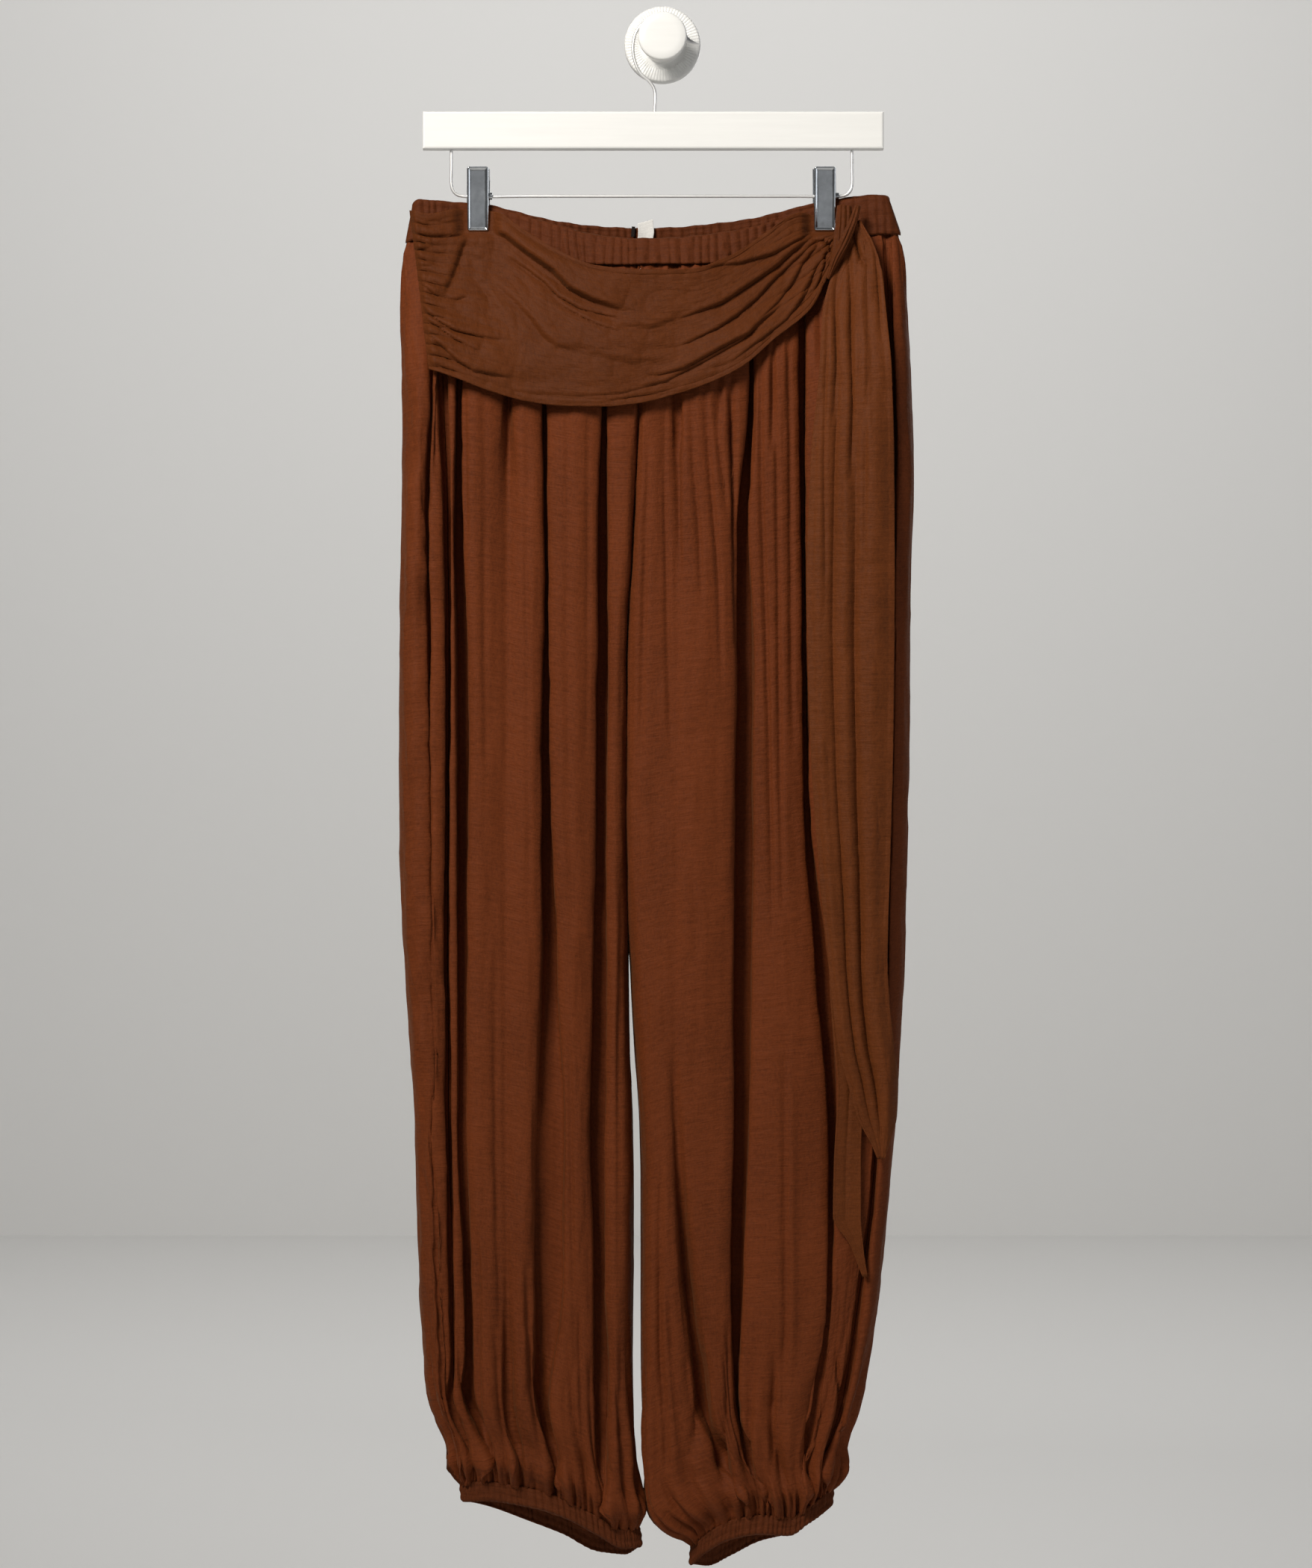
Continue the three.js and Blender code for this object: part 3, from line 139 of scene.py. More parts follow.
# Each fold: its place x, its width and its depth at those levels.
FOLDS = {
    "leftSeam": (
        [-172, -168.9, -164.8, -164.2, -164.2, -164.8, -164.2, -161.5, -161.5, -150, -146],
        [2, 3.4, 2.4, 1.8, 1.8, 1.8, 1.8, 1.8, 1.8, 1.8, 1.8],
        [2, 13, 14, 14, 14, 13, 12, 11, 8, 4, 2],
    ),
    "leftStrip": (
        [-182, -176, -179, -179.8, -177.9, -176.9, -175.8, -172.8, -169.5, -154.5, -148],
        [2, 2.6, 2.6, 3, 3, 3, 3, 3, 3, 3, 3],
        [0, 9, 11, 10, 4, 1, 1, 2, 2, 1, 0],
    ),
    "leftOuter": (
        [-155, -156.2, -155.9, -153.9, -153.6, -153.9, -153.3, -149.5, -147.5, -139, -130],
        [5, 5, 6.3, 8.2, 7.5, 6.9, 6, 5.4, 7.5, 5.5, 5],
        [3, 17, 19, 19, 18, 14, 11, 15, 16, 9, 4],
    ),
    "leftSoft": (
        [-118, -118.1, -118.7, -119.3, -119.3, -119.9, -120.4, -119.3, -118.1, -114.7, -108],
        [6, 6, 16, 18, 18, 16, 16, 12, 9, 8, 6],
        [2, 11, 4, 3.5, 3, 3, 4, 4, 6, 6, 4],
    ),
    "leftMiddle": (
        [-91, -91.1, -89.3, -89.3, -88.8, -86.4, -86.4, -87, -90.5, -84, -78],
        [3.5, 3.8, 4, 5.6, 7, 11, 19, 19, 8, 4, 4],
        [3, 16, 18, 18, 18, 17, 12, 12, 13, 11, 4],
    ),
    "leftInner": (
        [-44, -44.4, -45.5, -46.7, -47.8, -48.4, -49.6, -48.4, -46.7, -45, -40],
        [5, 5.2, 8.1, 8.6, 7.5, 9.2, 9.8, 8.6, 10.4, 7.5, 5],
        [3, 17, 18, 19, 18, 18, 18, 17, 17, 12, 5],
    ),
    "rightInner": (
        [9.2, 9.2, 9.8, 9.8, 9.8, 9.2, 10.4, 19, 31.1, 43.2, 52],
        [6, 9, 12, 12, 12, 12, 10, 9, 9.5, 10, 8],
        [2, 5, 2, 1, 1, 1, 3, 14, 15, 12, 5],
    ),
    "rightMiddle": (
        [68, 68.6, 62.2, 62.8, 62.2, 61.1, 60.5, 57.1, 58.2, 65.5, 74],
        [4.6, 4.6, 8.1, 10.9, 11.5, 11.5, 9.8, 8.6, 5.4, 5.2, 5],
        [3, 16, 18, 18, 19, 18, 18, 17, 14, 10, 4],
    ),
    "rightOuter": (
        [107, 107.2, 107.8, 108.9, 111.8, 123.3, 130.2, 128.5, 118, 104, 98],
        [5, 5.8, 4.2, 3.4, 4.6, 8.6, 6.3, 4, 3.4, 3.5, 4],
        [3, 15, 15, 14, 15, 15, 14, 7, 5, 5, 3],
    ),
    "rightSeam": (
        [172, 175.5, 176.3, 175.5, 174, 170, 165.5, 153, 138, 126, 116],
        [2, 2.6, 2.6, 2.4, 2, 1.8, 1.8, 1.8, 1.8, 1.8, 1.8],
        [2, 9, 10, 10, 9, 8, 8, 7, 6, 4, 2],
    ),
    "leftBack1": (
        [-46, -47, -49, -51, -50, -48, -47, -49, -51, -47, -42],
        [9, 12, 14, 13, 12, 13, 14, 13, 12, 10, 8],
        [2, 7, 9, 10, 9, 10, 9, 9, 8, 5, 2],
    ),
    "leftBack2": (
        [-82, -83, -86, -87, -85, -84, -86, -88, -87, -80, -76],
        [9, 12, 13, 14, 13, 12, 13, 14, 12, 10, 8],
        [2, 9, 8, 9, 10, 9, 10, 8, 9, 6, 2],
    ),
    "leftBack3": (
        [-118, -120, -123, -122, -120, -121, -123, -122, -119, -112, -104],
        [9, 13, 12, 13, 14, 13, 12, 13, 12, 10, 8],
        [2, 8, 10, 9, 8, 10, 9, 8, 8, 6, 2],
    ),
    "leftBack4": (
        [-154, -157, -159, -160, -158, -156, -154, -152, -149, -138, -130],
        [9, 12, 13, 12, 13, 12, 13, 12, 10, 8, 8],
        [2, 9, 9, 10, 9, 8, 9, 9, 7, 5, 2],
    ),
    "rightBack1": (
        [16, 14, 11, 9, 10, 12, 14, 16, 19, 26, 40],
        [9, 12, 13, 12, 13, 12, 13, 12, 12, 10, 8],
        [2, 8, 9, 10, 9, 8, 10, 9, 8, 5, 2],
    ),
    "rightBack2": (
        [54, 52, 49, 48, 50, 51, 50, 49, 50, 56, 64],
        [9, 13, 12, 13, 12, 13, 12, 13, 12, 10, 8],
        [2, 9, 10, 9, 8, 9, 9, 10, 8, 6, 2],
    ),
    "rightBack3": (
        [92, 91, 88, 87, 88, 89, 87, 83, 81, 84, 86],
        [9, 12, 13, 12, 13, 12, 13, 12, 11, 10, 8],
        [2, 8, 9, 10, 9, 10, 8, 9, 8, 5, 2],
    ),
    "rightBack4": (
        [134, 136, 137, 136, 134, 132, 129, 122, 115, 110, 106],
        [9, 12, 12, 13, 12, 13, 12, 12, 10, 9, 8],
        [2, 9, 10, 9, 10, 9, 9, 8, 7, 5, 2],
    ),
}
# Seam line of each cuff: the cuff's middle, half width and depth, and its height over x.
CUFFS = {
    "left": {
        "centre": -87.1,
        "half": 69.7,
        "deep": 15,
        "seam": 0.9,
        "x": [-156.8, -136.6, -107.8, -79, -50.1, -30, -17.4],
        "front": [-1114.9, -1113.1, -1116.6, -1124.6, -1139.6, -1150, -1150],
        "back": [-1114.9, -1120.6, -1131.5, -1142.5, -1156, -1157.5, -1150],
    },
    "right": {
        "centre": 77.2,
        "half": 55.3,
        "deep": 19,
        "seam": 2.6,
        "x": [21.9, 36, 53.6, 76.6, 99, 115, 132.5],
        "front": [-1164, -1151, -1141.5, -1137.5, -1138.5, -1129.5, -1118.5],
        "back": [-1164, -1167, -1160, -1149, -1143, -1133, -1118.5],
    },
}
# Edges of the tie ends, and how far they lie off the leg.
TAILS = {
    "tie_end_front": {
        "lift": 6.2,
        "z": [
            -143, -150, -160, -172, -185, -215, -262, -332, -424, -547, -639, -714, -778, -806, -830,
            -847, -862,
        ],
        "left": [
            147.8, 146, 142.5, 137, 130, 122.6, 119.4, 113, 110.1, 113, 119.3, 126.8, 134.3, 141.8,
            148.7, 157.3, 164.8,
        ],
        "right": [
            151.6, 156, 161.5, 166, 168.5, 171, 174.6, 176.3, 176.9, 175.8, 173.5, 171.7, 176.3, 179.6,
            178.7, 173.9, 169.6,
        ],
    },
    "tie_end_back": {
        "lift": 2.5,
        "z": [-180, -374, -547, -720, -778, -806, -870, -907, -928, -953],
        "left": [134.3, 129.7, 127.4, 127.4, 131.4, 133.7, 130.8, 130.2, 143, 153],
        "right": [162.2, 166.9, 166.7, 164.2, 157.3, 154.4, 151.6, 151.6, 153.3, 156.8],
    },
}
# Middle of the hook's wire from the bar, over the knob's neck, to its tip.
HOOK = {
    "x": [
        -6, -6, -10, -17, -21.5, -22.8, -20.6, -14, -7.5, 0, 7, 12.4, 15.8, 17.8, 21, 24.4, 25.6, 27.2,
        28.6,
    ],
    "z": [
        -56.9, -40.5, -33.5, -27, -17, -7, 4, 12.6, 15.9, 16.8, 15.2, 11.2, 5.6, 0.4, -2.9, -4.2, -4.6,
        -5, -5.3,
    ],
}
# Gathers of the leg panels: how far apart or how many round half a cuff, how high, how far they run.
WAIST_GATHER = {"apart": 7.4, "high": 1.5, "run": 34}
WAIST_WAVE = {"apart": 19, "high": 1.3, "run": 120}
CUFF_GATHER = {"count": 15, "high": 12, "run": 24, "stray": 15}
CUFF_FOLD = {"count": 10, "high": 8.5, "start": 170, "end": 15}
CUFF_FINE = {"count": 33, "high": 5.5, "run": 20}
CUFF_PUFF = {"high": 6, "at": 16, "reach": 12}
CUFF_RIBS = 84
# How far the ends of a leg panel go up or down inside what they are sewn to, and how deep.
BACK_TUCK = {"lift": 6.4, "depth": 2.9}
FRONT_TUCK = {"lift": 2.4, "depth": 1.7}
FOOT_TUCK = {"lift": 2.6, "depth": 1.7}

LATTICE = np.random.default_rng(6519).random((97, 97))


def mix(a, b, t):
    return a + (b - a) * t


def smooth(a, b, v):
    """0 up to a, 1 from b on, and a soft step between them; a may be the larger."""
    t = np.clip((np.asarray(v, float) - a) / (b - a), 0, 1)
    return t * t * (3 - 2 * t)


def curve(keys, values, at):
    """Smooth curve through values over keys that never swings past them."""
    keys, values, at = (np.asarray(k, float) for k in (keys, values, at))
    if keys[0] > keys[-1]:
        keys, at = -keys, -at
    at = np.clip(at, keys[0], keys[-1])
    i = np.clip(np.searchsorted(keys, at, side="right") - 1, 0, len(keys) - 2)
    h = np.diff(keys)
    rise = np.diff(values) / h
    a, b = rise[:-1], rise[1:]
    same = a * b > 0
    inner = np.where(same, 2 * a * b / np.where(same, a + b, 1), 0)
    slope = np.concatenate([rise[:1], inner, rise[-1:]])
    t = (at - keys[i]) / h[i]
    t2, t3 = t**2, t**3
    start = (2 * t3 - 3 * t2 + 1) * values[i] + (t3 - 2 * t2 + t) * h[i] * slope[i]
    return start + (3 * t2 - 2 * t3) * values[i + 1] + (t3 - t2) * h[i] * slope[i + 1]


def noise(u, v, seed=0):
    """Smooth lumps from -1 to 1, about one to each unit."""
    u = np.asarray(u, float) + 17.3 * seed
    v = np.asarray(v, float) + 29.7 * seed
    size = len(LATTICE)
    iu, iv = np.floor(u).astype(int), np.floor(v).astype(int)
    fu, fv = u - iu, v - iv
    fu, fv = fu * fu * (3 - 2 * fu), fv * fv * (3 - 2 * fv)
    top = mix(LATTICE[iu % size, iv % size], LATTICE[(iu + 1) % size, iv % size], fu)
    low = mix(LATTICE[iu % size, (iv + 1) % size], LATTICE[(iu + 1) % size, (iv + 1) % size], fu)
    return 2 * mix(top, low, fv) - 1


def lumps(u, v, seed=0):
    """Three sizes of noise together."""
    finer = 0.5 * noise(2 * u, 2 * v, seed + 1) + 0.25 * noise(4 * u, 4 * v, seed + 2)
    return noise(u, v, seed) + finer


def pleat(t, blunt=0.85):
    """Gathers with round crests and sharp valleys, one to each unit of t, from -0.64 to 0.36."""
    return np.abs(np.sin(math.pi * t)) ** blunt - 0.64


def bell(v, place, wide):
    """1 at the place, and less on both sides of it."""
    return np.exp(-(((v - place) / wide) ** 2))


# How far a fold wanders from side to side on its way down.
STRAY = {"leftStrip": 2.6, "leftSeam": 0.8, "rightSeam": 1.4}


def fold_at(name, z):
    """A fold's middle, half width and depth at a height."""
    place, wide, deep = FOLDS[name]
    wander = STRAY.get(name, 0.7) * noise(z / 62, 0 * z, len(name)) * smooth(-240, -330, z)
    half = curve(LEVELS, wide, z) / 2
    return curve(LEVELS, place, z) + wander, half, np.maximum(0, curve(LEVELS, deep, z))


def band_top(x, side):
    return curve(WAIST["x"], WAIST[side], x)


def band_foot(x, side):
    """Lower edge of the waistband, which rises in the middle of the front."""
    lean = 9 * bell(x, -8, 75) if side == "front" else 0
    return band_top(x, side) - (BAND_HEIGHT - lean)


def band_y(x, side, v):
    """Outer face of the waistband, v = 0 at its top edge and 1 at its foot."""
    belly = curve(WAIST["x"], WAIST["belly"], x) * v
    if side == "front":
        return curve(WAIST["x"], WAIST["frontY"], x) - belly
    return curve(WAIST["x"], WAIST["backY"], x) + belly * 0.35


def crest(x, z, side):
    """Crest surface of the cloth before its folds."""
    if side == "front":
        lower = 1 - 0.14 * smooth(*LOW_LEG, z)
        wave = 1.6 * np.sin(x / 31 + z / 260) + 1.1 * np.sin(x / 17 - z / 190)
        full = MID - FULL_FRONT * lower + wave
    else:
        full = MID + FULL_BACK + 1.2 * np.sin(x / 27 - z / 230) - 3 * smooth(*LOW_LEG, z)
    return mix(band_y(x, side, 1), full, smooth(band_foot(x, side), FULL_Z, z))


def way(leg):
    """The side that a leg lies on."""
    return -1 if leg == "left" else 1


def inner_x(leg, z):
    """Inner edge of a leg; the halves meet at the centre seam above the crotch."""
    apart = mix(SEAM * 0.5, -0.3, smooth(CROTCH - 16, CROTCH, z))
    return curve(INNER["z"], INNER[leg], z) + way(leg) * apart


def outer_x(leg, z):
    return curve(OUTLINE["z"], OUTLINE[leg], z)


# Sections of a fold: places across it in half widths, and the share of its depth there.
EDGE = 1.25
LIP_POINTS = (
    (-EDGE, 0), (-1.1, 0.4), (-0.98, 0.88), (-0.6, 1), (0, 1), (0.6, 1), (0.98, 0.88), (1.1, 0.4),
    (EDGE, 0),
)
SOFT_POINTS = ((-EDGE, 0), (-0.55, 0.5), (0, 1), (0.55, 0.5), (EDGE, 0))
SEAM_POINTS = ((0, 1), (1.5, 0.97), (2.0, 0.4), (2.6, 0))


def fold_stations(name, side, points):
    """Stations across a fold; each gives x and y for a height z."""

    def station(across, level):
        def place(z):
            x, half, deep = fold_at(name, z)
            x = x + across * half
            lip = np.minimum(LIP, deep * 0.3)
            if side == "front":
                sink = lip + level * np.maximum(0, deep * DEEPER - lip)
                floor = MID - FRONT_ROOM - FILLED_ROOM * smooth(LEVELS[0], LEVELS[1], z)
                return x, np.minimum(crest(x, z, side) + sink, floor)
            sink = lip + level * np.maximum(0, deep - lip)
            return x, np.maximum(crest(x, z, side) - sink, MID + BACK_ROOM)

        return place, side

    return [station(*point) for point in points]


def lip_of(name, across, z):
    """The edge of a fold on one side, and how far the cloth turns in there."""
    x, half, deep = fold_at(name, z)
    return x + across * EDGE * half, np.minimum(LIP, deep * 0.3)


def crest_stations(left, right, side, shares):
    """Stations on the round crest between two folds, at shares of the way."""

    def station(share):
        def place(z):
            a, lip_a = lip_of(*left, z)
            b, lip_b = lip_of(*right, z)
            x = mix(a, b, share)
            drop = abs(2 * share - 1) ** 3 * (lip_a if share < 0.5 else lip_b)
            return x, crest(x, z, side) + (drop if side == "front" else -drop)

        return place, side

    return [station(share) for share in shares]


def inner_stations(leg, side, angles):
    """Stations round the inner edge of a leg."""

    def station(angle):
        def place(z):
            turn = curve(INNER["z"], INNER["turn"], z)
            x = inner_x(leg, z) + way(leg) * turn * (1 - math.cos(angle))
            full = inner_x(leg, z) + way(leg) * turn
            edge = curve(INNER["z"], INNER[side], z)
            if side == "front":
                face = crest(full, z, side) + 1
                return x, mix(np.maximum(MID - edge, face), face, math.sin(angle))
            face = crest(full, z, side) - 1
            return x, mix(np.minimum(MID + edge, face), face, math.sin(angle))

        return place, side

    return [station(angle) for angle in angles]


def outer_stations(leg, angles):
    """Stations round the outer edge of a leg, from its back to its front."""

    def station(angle):
        side = "front" if angle >= 0 else "back"

        def place(z):
            turn = curve(OUTLINE["z"], OUTLINE["turn"], z)
            full = outer_x(leg, z) - way(leg) * turn
            x = full + way(leg) * turn * math.cos(angle)
            return x, MID + (crest(full, z, side) - MID) * abs(math.sin(angle))

        return place, side

    return [station(angle) for angle in angles]


def seam_stations(name, toward):
    """Stations from a side seam up to the crest on one side of it."""

    def station(across, level):
        def place(z):
            x, half, deep = fold_at(name, z)
            x = x + toward * (across * half + SEAM * 0.5)
            lip = np.minimum(LIP, deep * 0.3)
            sink = lip + level * np.maximum(0, deep * DEEPER - lip)
            return x, np.minimum(crest(x, z, "front") + sink, MID - SEAM_ROOM)

        return place, "front"

    return [station(*point) for point in SEAM_POINTS]


def cuff_point(leg, cosine, side):
    """A place on the seam line of a cuff."""
    cuff = CUFFS[leg]
    x = cuff["centre"] + cuff["half"] * cosine
    sine = np.sqrt(np.maximum(0, 1 - np.abs(cosine) ** 2.4))
    y = MID + (-1 if side == "front" else 1) * mix(SEAM, cuff["deep"], sine)
    return x, y, curve(cuff["x"], cuff[side], x)


def tucked(points, n, above, below, seam, lift, depth):
    """Both ends of a leg panel run a little way inside the cuff and the waistband."""
    foot = smooth(6, 0, above)
    head = smooth(6, 0, below)
    points = points - n * (FOOT_TUCK["depth"] * foot + depth * smooth(6, 2.5, below))[:, :, None]
    points[:, :, 2] += lift * head - (FOOT_TUCK["lift"] + seam) * foot
    return points


def leg_grid(leg, shares, stations):
    """Rows down, stations across: x, y, z, angle round the cuff, height over it, drop from the waist."""
    columns = []
    for place, side in stations:
        z = mix(LEVELS[0], LEVELS[-1], shares)
        x, y = place(z)
        for _ in range(4):
            out, inside = outer_x(leg, z), inner_x(leg, z)
            cosine = np.clip((x - (out + inside) / 2) / np.abs(out - inside) * 2, -1, 1)
            foot_x, foot_y, foot_z = cuff_point(leg, cosine, side)
            foot_z = foot_z + CUFFS[leg]["seam"]
            head = band_foot(x, side) - SEAM
            z = mix(head, foot_z, shares)
            x, y = place(z)
        inward = smooth(0.55, 1.0, np.maximum(0, -way(leg) * cosine))
        late = 1.6 + (5.5 if leg == "right" else 1.5) * inward
        gather = smooth(foot_z + CUFF_BLEND, foot_z, z) ** late
        angle = np.arccos(cosine) * (1 if side == "front" else -1)
        parts = (mix(x, foot_x, gather), mix(y, foot_y, gather), z, angle, z - foot_z, head - z)
        columns.append(np.stack(parts, -1))
    return np.stack(columns, 1)


def refine(grid, step):
    """More columns along smooth curves through the stations, about step apart."""
    first = 2 * grid[:, :1] - grid[:, 1:2]
    last = 2 * grid[:, -1:] - grid[:, -2:-1]
    p = np.concatenate([first, grid, last], 1)
    gaps = np.linalg.norm(np.diff(p[:, :, :3], axis=1), axis=2)
    root = np.sqrt(np.maximum(gaps, 1e-4))[:, :, None]
    columns = []
    for i in range(1, grid.shape[1]):
        count = max(2, round(float(gaps[:, i].mean()) / step))
        a, b, c, d = p[:, i - 1], p[:, i], p[:, i + 1], p[:, i + 2]
        before, here, after = root[:, i - 1], root[:, i], root[:, i + 1]
        start = ((b - a) / before - (c - a) / (before + here) + (c - b) / here) * here
        end = ((c - b) / here - (d - b) / (here + after) + (d - c) / after) * here
        for k in range(count):
            t = k / count
            columns.append(
                (2 * t**3 - 3 * t**2 + 1) * b
                + (t**3 - 2 * t**2 + t) * start
                + (3 * t**2 - 2 * t**3) * c
                + (t**3 - t**2) * end
            )
    columns.append(grid[:, -1])
    return np.stack(columns, 1)


def normals(points, outward, ring=False):
    """Unit normals of a grid of points."""
    if ring:
        across = np.roll(points, -1, 1) - np.roll(points, 1, 1)
    else:
        across = np.gradient(points, axis=1)
    down = np.gradient(points, axis=0)
    n = np.cross(across, down) * outward
    return n / np.maximum(np.linalg.norm(n, axis=2, keepdims=True), 1e-9)


def lengths(points, axis):
    """Mean distance along a grid's rows or columns, from its first."""
    step = np.linalg.norm(np.diff(points, axis=axis), axis=2).mean(axis=1 - axis)
    return np.concatenate([[0], np.cumsum(step)])


def along(x, z, path):
    """How far each place lies above a path of (x, z) places, and the share of the way along it."""
    path = np.asarray(path, float)
    legs = np.linalg.norm(np.diff(path, axis=0), axis=1)
    nearest = np.full(x.shape, 1e9)
    sign = np.ones(x.shape)
    share = np.zeros(x.shape)
    done = 0
    for start, end, long in zip(path, path[1:], legs):
        dx, dz = (end - start) / long
        t = np.clip((x - start[0]) * dx + (z - start[1]) * dz, 0, long)
        gap = (x - start[0] - t * dx) ** 2 + (z - start[1] - t * dz) ** 2
        near = gap < nearest
        over = ((z - start[1]) * dx - (x - start[0]) * dz) * (1 if dx >= 0 else -1)
        sign = np.where(near, np.sign(over), sign)
        nearest = np.where(near, gap, nearest)
        share = np.where(near, (done + t) / legs.sum(), share)
        done += long
    return np.sqrt(nearest) * sign, share


def taper(share, blunt):
    """Strength along a line that fades to both of its ends."""
    return np.sin(math.pi * np.clip(share, 0.001, 0.999)) ** blunt


def crease(x, z, path, wide, deep, blunt=0.5):
    """A valley, or a ridge where deep is below 0, along a path of (x, z) places."""
    above, share = along(x, z, path)
    return -deep * taper(share, blunt) * bell(above, 0, wide)


def fold_line(x, z, path, high, soft, drop=1.5, blunt=0.45):
    """Cloth that stands up above a line of (x, z) places and falls steeply under it."""
    above, share = along(x, z, path)
    crown = np.exp(-((np.maximum(0, above) / soft) ** 1.6))
    under = -0.5 * np.exp(-((np.maximum(0, -above - drop) / (0.55 * soft)) ** 2))
    return high * taper(share, blunt) * mix(under, crown, smooth(-drop, 0, above))


def facets(u, v, seed):
    """Sharp crumples with soft lumps between them, 0 and below."""
    fine = 0.5 * (1 - np.abs(noise(2.1 * u, 2.3 * v, seed + 1))) ** 4
    return -(1 - np.abs(noise(u, v, seed))) ** 4 - fine


def grid_of(x, y, z):
    """A grid of places from coordinates that may be rows, columns or grids."""
    return np.stack(np.broadcast_arrays(x, y, z), -1)


def link_piece(name, mesh, material, nodes):
    """An object of the mesh that rides on the part's body and stands for the CAD nodes."""
    piece = bpy.data.objects.new(name, mesh)
    bpy.context.scene.collection.objects.link(piece)
    mesh.materials.append(material)
    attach(piece, "root")
    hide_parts(*nodes)
    return piece


def quads(a, b, c, d):
    """Four-sided faces from grids of their corners."""
    return np.stack([a, b, c, d], -1).reshape(-1, 4)


def sheet_faces(rows, cols, ring=False):
    """Faces of a closed sheet: its outer places come first, its inner ones after them."""
    ids = np.arange(rows * cols).reshape(rows, cols)
    if ring:
        ids = np.concatenate([ids, ids[:, :1]], 1)
    far = ids + rows * cols
    faces = [
        quads(ids[:-1, :-1], ids[1:, :-1], ids[1:, 1:], ids[:-1, 1:]),
        quads(far[:-1, :-1], far[:-1, 1:], far[1:, 1:], far[1:, :-1]),
        quads(ids[0, :-1], ids[0, 1:], far[0, 1:], far[0, :-1]),
        quads(ids[-1, :-1], far[-1, :-1], far[-1, 1:], ids[-1, 1:]),
    ]
    if not ring:
        faces.append(quads(ids[:-1, 0], far[:-1, 0], far[1:, 0], ids[1:, 0]))
        faces.append(quads(ids[:-1, -1], ids[1:, -1], far[1:, -1], far[:-1, -1]))
    return np.concatenate(faces)


def tube_faces(count, around, flip=False):
    """Faces round a tube of rings, and its ends to the two places that follow the rings."""
    ids = np.arange(count * around).reshape(count, around)
    right = np.roll(ids, -1, 1)
    faces = quads(ids[:-1], ids[1:], right[1:], right[:-1]).tolist()
    first = count * around
    for centre, a, b in ((first, ids[0], right[0]), (first + 1, right[-1], ids[-1])):
        if flip:
            a, b = b, a
        faces += [[centre, p, q] for p, q in zip(a, b)]
    return faces


def shell(name, points, outward, material, nodes, ring=False, wall=CLOTH):
    """Closed cloth from a grid of its outer face: rows down, columns across.

    Its map holds the cloth's own lengths in metres.
    """
    rows, cols = points.shape[:2]
    inner = points - normals(points, outward, ring) * wall
    uv = np.stack(np.meshgrid(lengths(points, 1), lengths(points, 0)), -1).reshape(-1, 2)
    uv = np.concatenate([uv, uv])
    places = np.concatenate([points.reshape(-1, 3), inner.reshape(-1, 3)])
    faces = sheet_faces(rows, cols, ring)
    corner = places[faces]
    turned = np.cross(corner[:, 1] - corner[:, 0], corner[:, 2] - corner[:, 0])
    if np.einsum("ij,ij->", turned, corner[:, 0] - places.mean(0)) < 0:
        faces = faces[:, ::-1]
    mesh = bpy.data.meshes.new(name)
    mesh.from_pydata((places * MM).tolist(), [], faces.tolist())
    layer = mesh.uv_layers.new(name="cloth")
    layer.data.foreach_set("uv", (uv[faces.ravel()] * MM).astype(np.float32).ravel())
    mesh.polygons.foreach_set("use_smooth", [True] * len(mesh.polygons))
    mesh.update()
    return link_piece(name, mesh, material, nodes)


def hard_piece(name, places, faces, material, nodes, crisp):
    """A hard piece; faces that meet at more degrees than crisp do so in a sharp edge."""
    mesh = bpy.data.meshes.new(name)
    mesh.from_pydata((np.asarray(places, float) * MM).tolist(), [], [list(map(int, f)) for f in faces])
    mesh.validate()
    mesh.shade_smooth()
    mesh.set_sharp_from_angle(angle=math.radians(crisp))
    return link_piece(name, mesh, material, nodes)


def linear(r, g, b):
    """Colour of a surface from its red, green and blue on a screen, 0 to 255."""
    return tuple(((c / 255 + 0.055) / 1.055) ** 2.4 if c > 10 else c / 255 / 12.92 for c in (r, g, b))


def blank_material(name, rough):
    """A new material, with its tree and its shader."""
    material = bpy.data.materials.new(name)
    material.use_nodes = True
    shader = material.node_tree.nodes["Principled BSDF"]
    shader.inputs["Roughness"].default_value = rough
    return material, material.node_tree, shader


def feed(tree, socket, value):
    """Link the output of another node to the socket, or set the socket's value."""
    if isinstance(value, bpy.types.NodeSocket):
        tree.links.new(value, socket)
    else:
        socket.default_value = value


def node(tree, kind, **inputs):
    """A shader node with its inputs fed by name."""
    made = tree.nodes.new(kind)
    for key, value in inputs.items():
        feed(tree, made.inputs[key], value)
    return made


def noise_at(tree, vector, scale, detail):
    """Noise with a grain of its own along each axis."""
    size = node(tree, "ShaderNodeMapping", Vector=vector, Scale=scale).outputs["Vector"]
    made = node(tree, "ShaderNodeTexNoise", Vector=size, Scale=1.0, Detail=detail, Roughness=0.6)
    return made.outputs["Fac"]


def scaled(tree, source, amount, offset):
    """source * amount + offset."""
    made = tree.nodes.new("ShaderNodeMath")
    made.operation = "MULTIPLY_ADD"
    for socket, value in zip(made.inputs, (source, amount, offset)):
        feed(tree, socket, value)
    return made.outputs[0]


def shaded(tree, source, colour, stops):
    """The colour made darker and lighter by the source; stops are places and the shares there."""
    made = node(tree, "ShaderNodeValToRGB", Fac=source)
    elements = made.color_ramp.elements
    while len(elements) < len(stops):
        elements.new(0.5)
    for element, (place, share) in zip(elements, stops):
        element.position = place
        element.color = (*(min(1, c * share) for c in colour), 1)
    return made.outputs["Color"]


